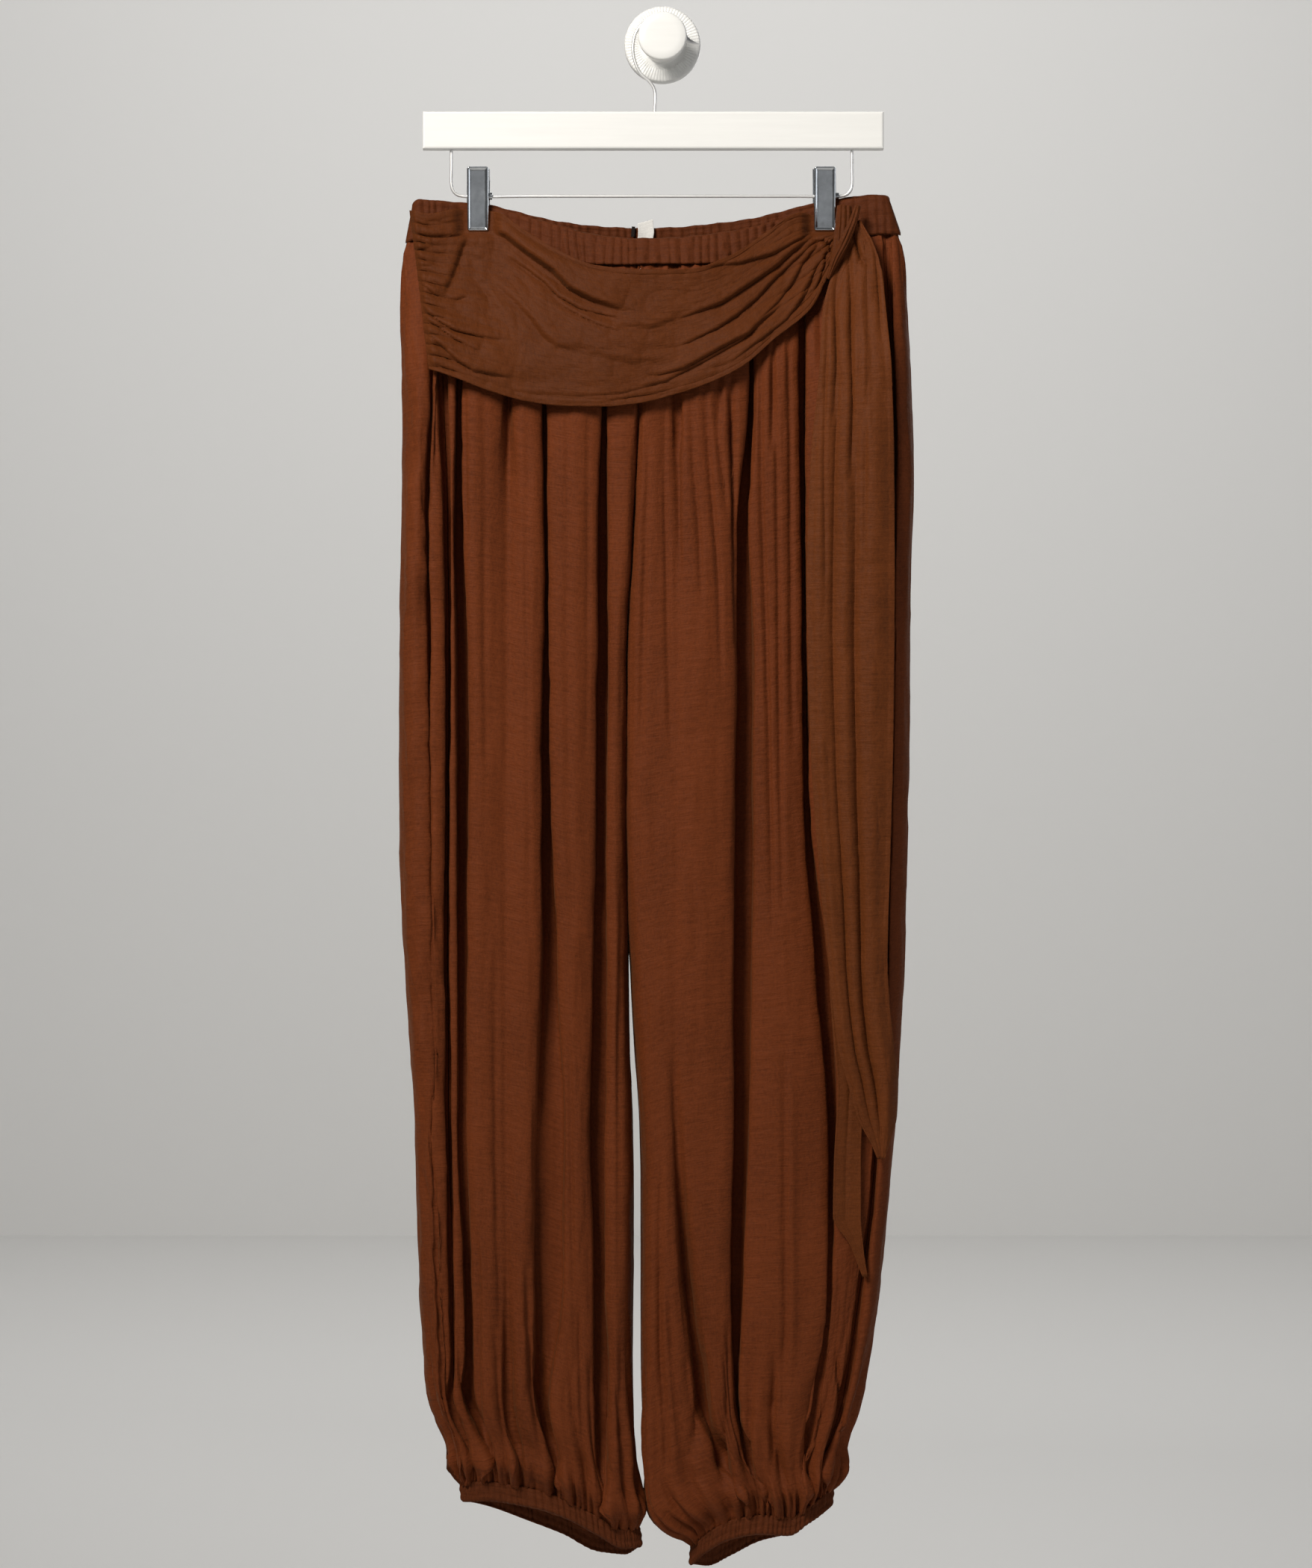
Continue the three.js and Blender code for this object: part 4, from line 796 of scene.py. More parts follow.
def bumped(tree, height, strength, distance, **under):
    """Normals with a relief of the height; under may feed the normals below it."""
    made = node(tree, "ShaderNodeBump", Height=height, Strength=strength, Distance=distance, **under)
    return made.outputs["Normal"]


# Noises of the cloth: how fine each is across and along, in waves a metre, and its detail.
WEAVE = {
    "threads": (70, 760, 4),
    "grain": (620, 240, 3),
    "dye": (16, 8, 5),
    "fine": (1100, 1100, 1),
    "crush": (55, 170, 4),
}
SHEEN_TINT = (1.0, 0.55, 0.25, 1)


def woven(name, colour, rough=0.68, sheen=0.06, slub=1.0):
    """Plain weave with long slubs across, uneven dye and a soft sheen."""
    material, tree, shader = blank_material(name, rough)
    shader.inputs["Specular IOR Level"].default_value = 0.1
    shader.inputs["Sheen Weight"].default_value = sheen
    shader.inputs["Sheen Roughness"].default_value = 0.42
    shader.inputs["Sheen Tint"].default_value = SHEEN_TINT
    place = tree.nodes.new("ShaderNodeUVMap")
    place.uv_map = "cloth"
    at = {
        key: noise_at(tree, place.outputs["UV"], (across, down, 1), detail)
        for key, (across, down, detail) in WEAVE.items()
    }
    tone = scaled(tree, at["threads"], 0.4 * slub, 0.275 - 0.45 * slub)
    tone = scaled(tree, at["dye"], 0.45, tone)
    tone = scaled(tree, at["grain"], 0.5 * slub, tone)
    shades = shaded(tree, tone, colour, [(0.2, 0.55), (0.5, 1), (0.82, 1.4)])
    tree.links.new(shades, shader.inputs["Base Color"])
    height = scaled(tree, at["threads"], 0.6, 0)
    height = scaled(tree, at["grain"], 0.35, height)
    height = scaled(tree, at["fine"], 0.4, height)
    crumple = bumped(tree, at["crush"], 0.5 * slub, 0.0022)
    tree.links.new(bumped(tree, height, 0.8, 0.0006, Normal=crumple), shader.inputs["Normal"])
    return material


def finish_of(name, colour, rough, metal=0.0, grain=(60, 60), depth=0.0001, spread=0.06):
    """Hard finish with faint uneven wear, mapped by place."""
    material, tree, shader = blank_material(name, rough)
    shader.inputs["Metallic"].default_value = metal
    place = tree.nodes.new("ShaderNodeTexCoord").outputs["Object"]
    wear = noise_at(tree, place, (grain[0], grain[1], grain[1]), 5)
    shades = shaded(tree, wear, colour, [(0.3, 1 - spread), (0.7, 1 + spread)])
    tree.links.new(shades, shader.inputs["Base Color"])
    tree.links.new(bumped(tree, wear, 0.4, depth), shader.inputs["Normal"])
    return material


cloth = woven("cloth", linear(102, 48, 20))
# Darker copy of the leg cloth for the waistband and cuffs: painted shade for the shade that falls in
# these casings
band_cloth_painted_shade = woven("band_cloth_painted_shade", linear(86, 41, 17))
sash_cloth = woven("sash_cloth", linear(86, 42, 14), rough=0.64, sheen=0.05, slub=0.9)
tie_cloth = woven("tie_cloth", linear(97, 49, 19), rough=0.62, sheen=0.07, slub=0.9)
white_label = woven("label", linear(236, 234, 230), rough=0.7, sheen=0.1, slub=0.25)
dark_label = woven("dark_label", linear(30, 24, 22), rough=0.7, sheen=0.1, slub=0.4)
chrome = finish_of("chrome", (0.6, 0.63, 0.66), 0.2, 1.0, (160, 160), 0.0001, 0.12)
# Chrome hook and rail wire: its near-white colour and part non-metal finish stand in for bright
# reflections, a painted reflection
wire_painted_shine = finish_of("wire_painted_shine", (0.95, 0.95, 0.94), 0.38, 0.7, (220, 220), 0.00004)
paint = finish_of("white_paint", (0.88, 0.88, 0.86), 0.34, 0.0, (14, 260), 0.00008, 0.02)

# Shares of the way over a crest, and angles round the edge of a leg.
MORE = (0.3, 0.7)
QUARTERS = (QUARTER, QUARTER * 0.62, QUARTER * 0.3, 0)
TURN = (-QUARTER, -QUARTER * 0.62, -QUARTER * 0.3, 0, QUARTER * 0.3, QUARTER * 0.62, QUARTER)
# Stations of the front panels from left to right.
LEFT_FRONT = [
    *seam_stations("leftSeam", 1),
    *fold_stations("leftOuter", "front", LIP_POINTS),
    *crest_stations(("leftOuter", 1), ("leftSoft", -1), "front", MORE),
    *fold_stations("leftSoft", "front", SOFT_POINTS),
    *crest_stations(("leftSoft", 1), ("leftMiddle", -1), "front", (0.5,)),
    *fold_stations("leftMiddle", "front", LIP_POINTS),
    *crest_stations(("leftMiddle", 1), ("leftInner", -1), "front", MORE),
    *fold_stations("leftInner", "front", LIP_POINTS),
    *inner_stations("left", "front", QUARTERS),
]
RIGHT_FRONT = [
    *inner_stations("right", "front", QUARTERS[::-1]),
    *fold_stations("rightInner", "front", SOFT_POINTS),
    *crest_stations(("rightInner", 1), ("rightMiddle", -1), "front", (0.2, 0.5, 0.8)),
    *fold_stations("rightMiddle", "front", LIP_POINTS),
    *crest_stations(("rightMiddle", 1), ("rightOuter", -1), "front", MORE),
    *fold_stations("rightOuter", "front", LIP_POINTS),
    *crest_stations(("rightOuter", 1), ("rightSeam", -1), "front", MORE),
    *seam_stations("rightSeam", -1)[::-1],
]


def back_stations(leg):
    """From the inner edge, over the back's four folds, round the side and to the front seam."""
    near, far = (1, -1) if leg == "left" else (-1, 1)
    names = [f"{leg}Back{i}" for i in (1, 2, 3, 4)]
    stations = inner_stations(leg, "back", (0, QUARTER * 0.4, QUARTER))
    for i, name in enumerate(names):
        fold = fold_stations(name, "back", SOFT_POINTS)
        stations += fold[::-1] if leg == "left" else fold
        if i < 3:
            stations += crest_stations((name, far), (names[i + 1], near), "back", (0.5,))
    stations += outer_stations(leg, TURN)
    if leg == "left":
        stations += fold_stations("leftStrip", "front", SOFT_POINTS)
    return stations + seam_stations(f"{leg}Seam", -near)[::-1]


def shares_of(rows):
    """Shares down a leg panel, closer together at the waist and at the cuff."""
    t = np.linspace(0, 1, rows)
    gap = 1 / (1 + 1.4 * np.exp(-t / 0.1) + 3 * np.exp(-(1 - t) / 0.16))
    sums = np.concatenate([[0], np.cumsum((gap[1:] + gap[:-1]) / 2)])
    return sums / sums[-1]


# Narrow folds of the front cloth as (x, z) paths, with how wide and how deep each is.
FRONT_CREASES = [
    ([(32, -262), (32, -273), (36, -333), (43, -418), (45, -490)], 1.9, 3.8),
    ([(50, -255), (51, -269), (55, -345), (57, -409), (58, -470)], 2.0, 6.1),
    ([(3, -280), (2, -340), (3.5, -432), (6, -560)], 2.4, 2.5),
    ([(10, -278), (12, -340), (13, -420)], 1.6, 2.6),
    ([(22, -272), (23, -328), (28, -386), (30, -440)], 1.7, 3.2),
    ([(39, -262), (43, -317), (51, -374)], 1.6, 3.8),
    ([(75, -240), (75.5, -347), (81, -532), (84, -700)], 1.9, 3.5),
    ([(85, -230), (88, -345), (90, -547), (92, -680)], 1.8, 2.9),
    ([(97, -215), (98.5, -374), (99.7, -547)], 1.8, 2.6),
    ([(98.5, -800), (99.7, -985), (96, -1080)], 3.0, -2.0),
    ([(93, -780), (94, -985), (92, -1060)], 2.0, 2.9),
    ([(133, -1010), (136.6, -1060), (139, -1100)], 1.5, 4.3),
    ([(8, -780), (12, -860), (16, -950), (22, -1066)], 3.0, 2.6),
    ([(-98, -820), (-95, -950), (-91.6, -1046), (-83, -1106)], 1.8, 4.1),
    ([(-72, -760), (-70, -900), (-66, -1040)], 2.4, 2.6),
    ([(-128, -700), (-127, -860), (-124, -1000)], 2.6, 2.3),
    ([(-57, -270), (-57, -420), (-58, -560)], 1.2, 1.7),
    ([(-136, -262), (-136, -420), (-135, -600)], 2.6, 1.4),
    ([(-103, -262), (-104, -420), (-102, -700)], 2.6, 1.7),
    ([(-72, -262), (-73, -480), (-70, -700)], 3.4, 1.7),
    ([(-30, -640), (-33, -800), (-34, -960)], 2.2, 2.6),
    ([(-10, -300), (-14, -420), (-17, -560)], 2.2, 2.3),
    ([(69, -250), (69, -280), (68, -330)], 2.2, 4.5),
    ([(121, -203), (121, -233), (121, -262)], 2.2, 4.5),
    ([(12, -276), (12, -295), (12, -320)], 2.2, 4.0),
    ([(44, -262), (44, -276), (44, -300)], 2.0, 5.0),
    ([(54, -258), (54, -285), (55, -330)], 1.8, 5.0),
    ([(85, -238), (84, -262), (84, -320)], 1.8, 4.5),
    ([(-165, -262), (-166, -300), (-168, -360)], 1.6, 3.0),
    ([(-3, -880), (-3, -1000), (3, -1090), (12, -1140)], 3.4, 4.6),
    ([(4, -960), (9, -1040), (18, -1112)], 2.2, 3.0),
    ([(50, -990), (56, -1060), (66, -1120)], 2.4, 4.0),
    ([(86, -1010), (84, -1080), (82, -1124)], 2.2, 3.8),
    ([(-128, -990), (-124, -1060), (-118, -1104)], 2.2, 3.8),
    ([(-104, -940), (-99, -1040), (-92, -1110)], 2.8, 4.4),
    ([(-64, -960), (-62, -1060), (-58, -1124)], 2.2, 4.0),
    ([(-142, -920), (-141, -1040), (-137, -1098)], 2.2, 3.6),
    ([(-32, -1000), (-31, -1070), (-28, -1136)], 2.4, 4.0),
    ([(-152, -268), (-152, -330), (-150, -400)], 1.6, 2.4),
]


# Edges of what covers the front: a place where it doesn't yet, and one where it does in full.
COVER = {
    "sash_low": (-12, 6),
    "sash_right": (124, 112),
    "tail_left": (104, 114),
    "tail_right": (184, 176),
    "tail_foot": (-962, -940),
}


def under_sash(x, z):
    """How far the sash or the tie ends cover this place of the front, 0 to 1."""
    low = np.interp(x, SASH["lowX"], SASH["lowZ"])
    sash = smooth(*COVER["sash_low"], z - low) * smooth(*COVER["sash_right"], x)
    tail = smooth(*COVER["tail_left"], x) * smooth(*COVER["tail_right"], x)
    return np.maximum(sash, tail * smooth(*COVER["tail_foot"], z))


def cuff_gathers(angle, z, rise, seed):
    """Gathers, folds and fine pleats that run up from a cuff."""
    turn = angle * CUFF_GATHER["count"] / math.pi
    tight = pleat(turn + 0.45 * noise(turn / 2, z / 60, seed), 0.75)
    tight = tight * (1 + 0.5 * noise(turn / 1.3, 0 * z, seed + 13))
    run = CUFF_GATHER["run"] + CUFF_GATHER["stray"] * noise(turn / 1.7, 0 * z, seed + 9)
    move = CUFF_GATHER["high"] * np.exp(-rise / run) * tight * smooth(-2, 6, rise)
    wide = angle * CUFF_FOLD["count"] / math.pi + 0.5 * noise(angle * 3, z / 80, seed + 5)
    reach = smooth(CUFF_FOLD["start"], CUFF_FOLD["end"], rise) * smooth(-4, 12, rise)
    move = move + CUFF_FOLD["high"] * reach * pleat(wide, 0.75)
    fine = angle * CUFF_FINE["count"] / math.pi + 0.6 * noise(angle * 7, z / 40, seed + 17)
    reach = np.exp(-rise / CUFF_FINE["run"]) * smooth(-2, 4, rise)
    move = move + CUFF_FINE["high"] * reach * pleat(fine, 0.8)
    return move + CUFF_PUFF["high"] * bell(rise, CUFF_PUFF["at"], CUFF_PUFF["reach"])


def waist_gathers(x, z, drop, seed):
    """Close gathers and wider waves that run down from the waistband."""
    close = x / WAIST_GATHER["apart"] + 0.5 * noise(x / 22, z / 90, seed)
    wave = x / WAIST_WAVE["apart"] + 0.4 * noise(x / 40, z / 160, seed + 2)
    move = WAIST_GATHER["high"] * np.exp(-drop / WAIST_GATHER["run"]) * pleat(close)
    return move + WAIST_WAVE["high"] * np.exp(-drop / WAIST_WAVE["run"]) * pleat(wave)


def leg_panel(name, leg, stations, outward, rows, step):
    """A leg panel over its stations, pushed out along its normals by gathers, creases and crumples."""
    grid = refine(leg_grid(leg, shares_of(rows), stations), step)
    points = grid[:, :, :3]
    angle, above, below = grid[:, :, 3], grid[:, :, 4], grid[:, :, 5]
    n = normals(points, outward)
    u = lengths(points, 1)[None, :]
    x, z = points[:, :, 0], points[:, :, 2]
    seed = 3 if leg == "left" else 11
    move = 0.9 * lumps(u / 26, z / 190, seed) + 0.34 * lumps(u / 7, z / 48, seed + 4)
    move = move + 0.24 * noise(u / 3.2, z / 11, seed + 7) + 0.35 * lumps(u / 15, z / 21, seed + 31)
    rise = np.maximum(0, above)
    move = move + waist_gathers(x, z, np.maximum(0, below), seed) + cuff_gathers(angle, z, rise, seed)
    move = move + 0.5 * facets(u / 15, z / 60, seed + 21)
    move = move + 1.6 * smooth(230, 30, rise) * facets(u / 11, z / 46, seed + 24)
    facing = np.clip(-n[:, :, 1] * 1.6, 0, 1)
    for path, across, deep in FRONT_CREASES:
        move = move + facing * crease(x, z, path, across, deep)
    if name == "leg_back_left":
        strip = facing * smooth(-158, -166, x)
        crumple = 1.9 * lumps(u / 13, z / 30, 81) + 1.6 * facets((u + z * 0.25) / 9, z / 42, 84)
        move = move + strip * crumple
    edge = np.minimum(u, u[:, -1:] - u)
    move = move * (0.15 + 0.85 * smooth(0, 5, edge))
    cover = under_sash(x, z) * facing
    move = np.where(move > 0.9, mix(move, 0.9, cover), move)
    tuck = FRONT_TUCK
    if name.startswith("leg_back"):
        tuck = BACK_TUCK
        move = move * (1 - smooth(4.6, 3.0, below))
    points = tucked(points + n * move[:, :, None], n, above, below, CUFFS[leg]["seam"], **tuck)
    return shell(name, points, outward, cloth, (name,))


def waist_half(name, side, cols, rows):
    """Half of the waistband casing with its gathers and its rolled edges."""
    sign = -1 if side == "front" else 1
    s = np.linspace(0, 1, cols)[None, :]
    v = np.linspace(-0.04, 1.03, rows)[:, None]
    inside = np.clip(v, 0, 1)
    left, right = mix(*BAND_ENDS["left"], inside), mix(*BAND_ENDS["right"], inside)
    x = mix(left, right, s)
    end = np.minimum(x - left, right - x)
    near = np.minimum(np.abs(x - CLIP_LEFT), np.abs(x - CLIP_RIGHT))
    rounded = np.sqrt(1 - (1 - np.clip(end / 6, 0, 1)) ** 2)
    phase = x / WAIST_GATHER["apart"] + 0.5 * noise(x / 22, v * 0.6, 3)
    phase = phase + 0.3 * noise(x / 9, v * 0.3, 21)
    height = 1.5 * smooth(9, 22, near) * smooth(0, 9, end) * (0.8 + 0.3 * v)
    gather = height * pleat(phase) + 0.4 * height * noise(x / 3.4, v * 3, 8)
    channels = 0.35 * np.cos(2 * math.pi * 3 * inside) * smooth(9, 22, near)
    roll = -1.2 * (smooth(0.05, -0.04, v) + smooth(0.97, 1.03, v))
    middle = MID + sign * 0.35
    reach = band_y(x, side, inside) - middle
    y = middle + reach * mix(0.2, 1, rounded) + sign * (gather + channels + roll)
    corner = 3.5 * (1 - rounded)
    top = band_top(x, side) + 0.25 * np.sin(x / 3.1) * smooth(9, 22, near) - corner
    z = mix(top, band_foot(x, side), v)
    return shell(name, grid_of(x, y, z), sign, band_cloth_painted_shade, (name,))


def cuff_ring(name, leg, cols, rows):
    """Cuff casing: a ring of fine ribs that hangs from its seam line."""
    angle = np.linspace(0, 2 * math.pi, cols, endpoint=False)[None, :]
    v = np.linspace(0, 1, rows)[:, None]
    front = np.sin(angle) > 0
    cosine = np.cos(angle)
    fx, fy, fz = cuff_point(leg, cosine, "front")
    _, by, bz = cuff_point(leg, cosine, "back")
    y, z = np.where(front, fy, by), np.where(front, fz, bz)
    rib = 1.15 * pleat(angle * CUFF_RIBS / (2 * math.pi) + 0.5 * noise(angle * 9, v * 0.7, 31))
    rib = rib + 0.4 * noise(angle * 14, v * 2.5, 33) + 0.3 * np.cos(2 * math.pi * 2.5 * v)
    rib = rib - 0.9 * (smooth(0.08, 0, v) + smooth(0.92, 1, v))
    x = fx + cosine * rib + way(leg) * v * -1.5
    y = y - np.sin(angle) * rib
    points = grid_of(x, y, z - v * CUFF_HEIGHT)
    return shell(name, points, 1, band_cloth_painted_shade, (name,), ring=True, wall=1.3)


def lay_y(x, z):
    """Front cloth face with its side turn, for the sash and the tie ends to lie on."""
    sign = np.where(x < 0, -1, 1)
    turn = curve(OUTLINE["z"], OUTLINE["turn"], z)
    out = np.where(x < 0, outer_x("left", z), outer_x("right", z))
    full = out - sign * turn
    past = np.clip((x - full) * sign / turn, 0, 0.97)
    foot, top = band_foot(x, "front"), band_top(x, "front")
    above = np.where(z > foot, (z - foot) / (top - foot), 0)
    face = np.where(z > foot, band_y(x, "front", 1 - above), crest(x, z, "front"))
    return MID + (face - MID) * np.sqrt(1 - past**2)


# Folds of the sash as (x, z) lines: how high each stands, how soft its crown is, how far it drops.
SASH_FOLDS = [
    ([(-134, -145), (-119, -152), (-106, -163), (-83, -180), (-70, -194), (-53, -203), (-30, -211)],
     7.0, 17.0, 4.0),
    ([(-119, -168), (-104, -178), (-90, -189), (-79, -201), (-62, -211), (-32, -219)], 2.3, 6.6, 2.2),
    ([(-85, -199), (-74, -210), (-60, -218), (-48, -224), (-32, -229)], 1.4, 4.4, 1.9),
    ([(-128, -187), (-113, -201), (-98, -217), (-89, -230), (-80, -238), (-62, -241)], 2.7, 12.1, 5.4),
    ([(-142, -163), (-137, -187), (-125, -207), (-111, -224)], 1.6, 9.9, 6.8),
    ([(-151, -151), (-157, -162), (-161, -175), (-165, -187), (-170, -200)], 2.5, 8.8, 3.4),
    ([(-165, -203), (-158, -203), (-150, -200)], 1.2, 4.4, 1.6),
    ([(-197, -151), (-177, -153), (-151, -152)], 1.7, 6.6, 1.4),
    ([(-196, -139), (-180, -141), (-165, -142), (-153, -139)], 1.1, 5.5, 1.4),
    ([(-196, -165), (-187, -163), (-178, -162)], 1.4, 3.9, 1.4),
    ([(-195, -178), (-187, -176), (-176, -177)], 1.4, 3.9, 1.4),
    ([(-193, -183), (-184, -191), (-172, -201)], 1.6, 4.4, 1.4),
    ([(-191, -196), (-184, -201), (-174, -205)], 1.4, 3.9, 1.4),
    ([(-190, -202), (-173, -219), (-158, -228), (-142, -232), (-124, -235)], 2.7, 7.7, 1.9),
    ([(-184, -226), (-168, -240), (-155, -252), (-144, -259), (-115, -264)], 2.7, 7.7, 1.9),
    ([(-186, -214), (-173, -224), (-158, -235), (-140, -244)], 1.9, 5.5, 1.6),
    ([(-116, -275), (-62, -279), (-33, -277), (6, -267)], 0.9, 3.3, 1.1),
    ([(-100, -282), (-47, -284), (6, -274)], 0.7, 2.2, 1.1),
    ([(121, -146), (100, -158), (85, -167), (59, -175), (28, -178)], 2.8, 8.8, 2.2),
    ([(119, -150), (100, -164), (85, -178), (65, -192), (45, -206), (12, -219)], 3.4, 8.8, 2.4),
    ([(120, -154), (108, -165), (94, -178), (82, -190), (71, -203), (56, -216), (42, -226), (14, -240)],
     2.7, 6.6, 1.9),
    ([(121, -156), (107, -174), (98, -191), (87, -206), (72, -221)], 2.0, 5.5, 1.9),
    ([(90, -208), (71, -223), (65, -230), (48, -239), (32, -248), (16, -257), (-6, -263)],
     2.8, 8.8, 2.2),
    ([(119, -172), (110, -197), (94, -219), (77, -233), (52, -252)], 1.9, 6.6, 1.9),
    ([(85, -213), (59, -236), (33, -251), (2, -267), (-16, -271)], 1.9, 5.5, 1.9),
    ([(109, -133), (91, -142), (71, -155), (52, -167), (36, -180)], 2.5, 8.8, 2.2),
    ([(117, -155), (125, -156), (131, -160), (132, -168), (128, -174)], 3.4, 3.5, 1.6),
    ([(121, -160), (124, -166), (123, -178), (116, -196)], 2.4, 3.5, 1.6),
    ([(123, -170), (114, -184), (100, -213)], 1.4, 4.4, 1.6),
    ([(14, -214), (-8, -224), (-34, -222)], 1.6, 9.9, 5.4),
    ([(-60, -240), (-30, -250), (10, -248)], 1.4, 13.2, 6.8),
]


# How far the sash hangs off the cloth, and how high its folds stand at most at its edges.
SASH_OFF = 3.6
SASH_EDGE = 2.2
# Gathers at the sash's ends: how many, how high, and up to which share of its length.
SASH_SEAM = {"count": 15, "high": 2.6, "to": 0.11}
SASH_SEAM_TAIL = {"high": 0.9, "to": 0.3}
SASH_KNOT = {"count": 8, "high": 2.2, "from": 0.8}


def sash_piece(cols, rows):
    """The sash from its side seam, under both clips, to the knot."""
    s = np.linspace(0, 1, cols)[None, :]
    v = np.linspace(0, 1, rows)[:, None]
    at = {key: curve(SASH["s"], SASH[key], s) for key in ("topX", "topZ", "lowX", "lowZ")}
    x, z = mix(at["topX"], at["lowX"], v), mix(at["topZ"], at["lowZ"], v)
    to_clip = np.minimum(np.abs(x - CLIP_LEFT), np.abs(x - CLIP_RIGHT))
    free = np.minimum(1, smooth(8, 20, to_clip) + smooth(-149, -156, z))
    seam = SASH_SEAM["high"] * smooth(SASH_SEAM["to"], 0.0, s)
    seam = seam + SASH_SEAM_TAIL["high"] * smooth(SASH_SEAM_TAIL["to"], 0.04, s)
    gather = pleat(v * SASH_SEAM["count"] + 0.6 * noise(v * 6, s * 5, 41), 0.7) * seam
    knotted = pleat(v * SASH_KNOT["count"] + 0.3 * noise(v * 4, s, 44), 0.7)
    move = 2.4 + gather + knotted * SASH_KNOT["high"] * smooth(SASH_KNOT["from"], 1.0, s)
    for path, high, soft, drop in SASH_FOLDS:
        move = move + fold_line(x, z, path, high, soft, drop)
    move = move + 0.8 * lumps(x / 30, z / 22, 45) + 0.7 * facets(s * 11 + v * 1.5, v * 6 - s * 3, 46)
    move = move + 0.4 * facets(s * 27, v * 13 - s * 8, 49) + 0.2 * lumps(x / 7, z / 6, 47)
    rest = 1.6 * (bell(v, 0, 0.05) + bell(v, 1, 0.05))
    move = mix(move, np.minimum(move, SASH_EDGE), np.clip(rest, 0, 1))
    turned = 0.35 * (smooth(0.045, 0.035, v) + smooth(0.955, 0.965, v))
    turned = turned - 0.4 * (bell(v, 0.04, 0.006) + bell(v, 0.96, 0.006))
    over = CLOTH + SASH_OFF + np.maximum(-1.2, move * free + turned)
    over = mix(over, 0.9 + CLOTH + 0.4 * gather, smooth(0.02, 0.0, s))
    near = smooth(20, 10, to_clip) * smooth(-158, -149, z)
    y = lay_y(x, z) - mix(over, 0.5 + CLOTH, near)
    return shell("sash", grid_of(x, y, z), 1, sash_cloth, ("sash",))


# Lines in the upper tie end as (x, z) paths, with how wide and how deep each is.
TAIL_CREASES = [
    ([(145.8, -149), (149.5, -163), (153, -173), (157.5, -177), (160.5, -175)], 1.6, 5.0),
    ([(143, -158), (144.5, -190), (144, -230), (145, -290), (143, -345)], 2.2, 3.6),
    ([(137, -172), (133, -195), (132, -215), (133, -260), (130, -300)], 2.2, 2.8),
    ([(163, -165), (165, -190), (167, -240)], 1.8, 1.6),
    ([(152, -182), (154, -240), (156, -330)], 3.0, -1.8),
    ([(128, -205), (125, -260), (123, -330), (124, -420)], 1.8, 2.0),
]


def tail_piece(name, cols, rows):
    """A tie end that lies on the right front leg, with its ridges, valleys and hems."""
    tail = TAILS[name]
    top, tip = tail["z"][0], tail["z"][-1]
    t = np.linspace(0, 1, rows)[:, None] ** 0.92
    u = np.linspace(0, 1, cols)[None, :]
    z = mix(top, tip, t)
    left, right = curve(tail["z"], tail["left"], z), curve(tail["z"], tail["right"], z)
    seed = 51 if name == "tie_end_front" else 61
    wander = 0.03 * noise(z / 90, z * 0, seed)
    x = mix(left, right, u)
    fade = smooth(tip, tip + 70, z)
    lift = tail["lift"]
    if name == "tie_end_front":
        lift = lift + 1.8 * smooth(-215, -168, z)
        low = smooth(-330, -470, z)
        ridge = 4.2 * bell(u + wander, 0.76, 0.15) + 2.0 * bell(u - wander, 0.43, 0.06)
        ridge = ridge + 1.6 * bell(u, 0.14, 0.08) - 2.4 * bell(u - wander, 0.3, 0.035)
        ridge = ridge - (1.2 + 2.2 * low) * bell(u - wander, 0.55, 0.045)
        ridge = ridge - 1.6 * (1 - low) * bell(u, 0.66, 0.03) - 2.0 * smooth(0.16, 0.0, u)
        ridge = ridge * smooth(-215, -330, z)
        fan = pleat(u * 4.5 + 0.35 * noise(u * 3, z / 60, 52))
        ridge = ridge + 0.7 * smooth(-330, -240, z) * smooth(-150, -190, z) * fan
        ridge = ridge * fade + 0.8 * lumps(u * 4, z / 45, seed + 2)
        ridge = ridge + 0.6 * facets(u * 5, z / 34, seed + 4)
        for path, across, deep in TAIL_CREASES:
            ridge = ridge + crease(x, z, path, across, deep)
        ridge = ridge + 2.8
    else:
        ridge = 0.35 * lumps(u * 2, z / 50, seed) - 0.8 * bell(u, 0.45, 0.07) * fade
    hem = 0.3 * (smooth(0.06, 0.05, u) + smooth(0.94, 0.95, u))
    y = lay_y(x, z) - lift - CLOTH - np.maximum(-1.8, ridge + hem)
    return shell(name, grid_of(x, y, z), 1, tie_cloth, (name,))


def spline(path, count):
    """Places evenly through a smooth curve."""
    p = np.asarray(path, float)[None]
    dense = refine(p, np.linalg.norm(np.diff(p[0], axis=0), axis=1).mean() / 40)[0]
    far = np.concatenate([[0], np.cumsum(np.linalg.norm(np.diff(dense, axis=0), axis=1))])
    return np.stack([np.interp(np.linspace(0, far[-1], count), far, dense[:, i]) for i in range(3)], -1)


def round_line(centre, around):
    """Directions across a line of places and through it, and the angles round it."""
    tangent = np.gradient(centre, axis=0)
    tangent /= np.linalg.norm(tangent, axis=1, keepdims=True)
    wide = np.cross([0, 1, 0], tangent)
    wide /= np.linalg.norm(wide, axis=1, keepdims=True)
    angle = np.linspace(0, 2 * math.pi, around, endpoint=False)[None, :]
    return wide[:, None], np.cross(tangent, wide)[:, None], angle


# Middle of the fold round the knot and of the strand under it.
KNOT_WRAP = [
    (150, -49.5, -132), (146, -53.5, -145), (139, -54.5, -161), (132.5, -53.5, -174), (127, -52, -188),
]
KNOT_UNDER = [(140, -43.5, -131), (139, -46.5, -148), (135.5, -49, -166), (129, -48, -184)]


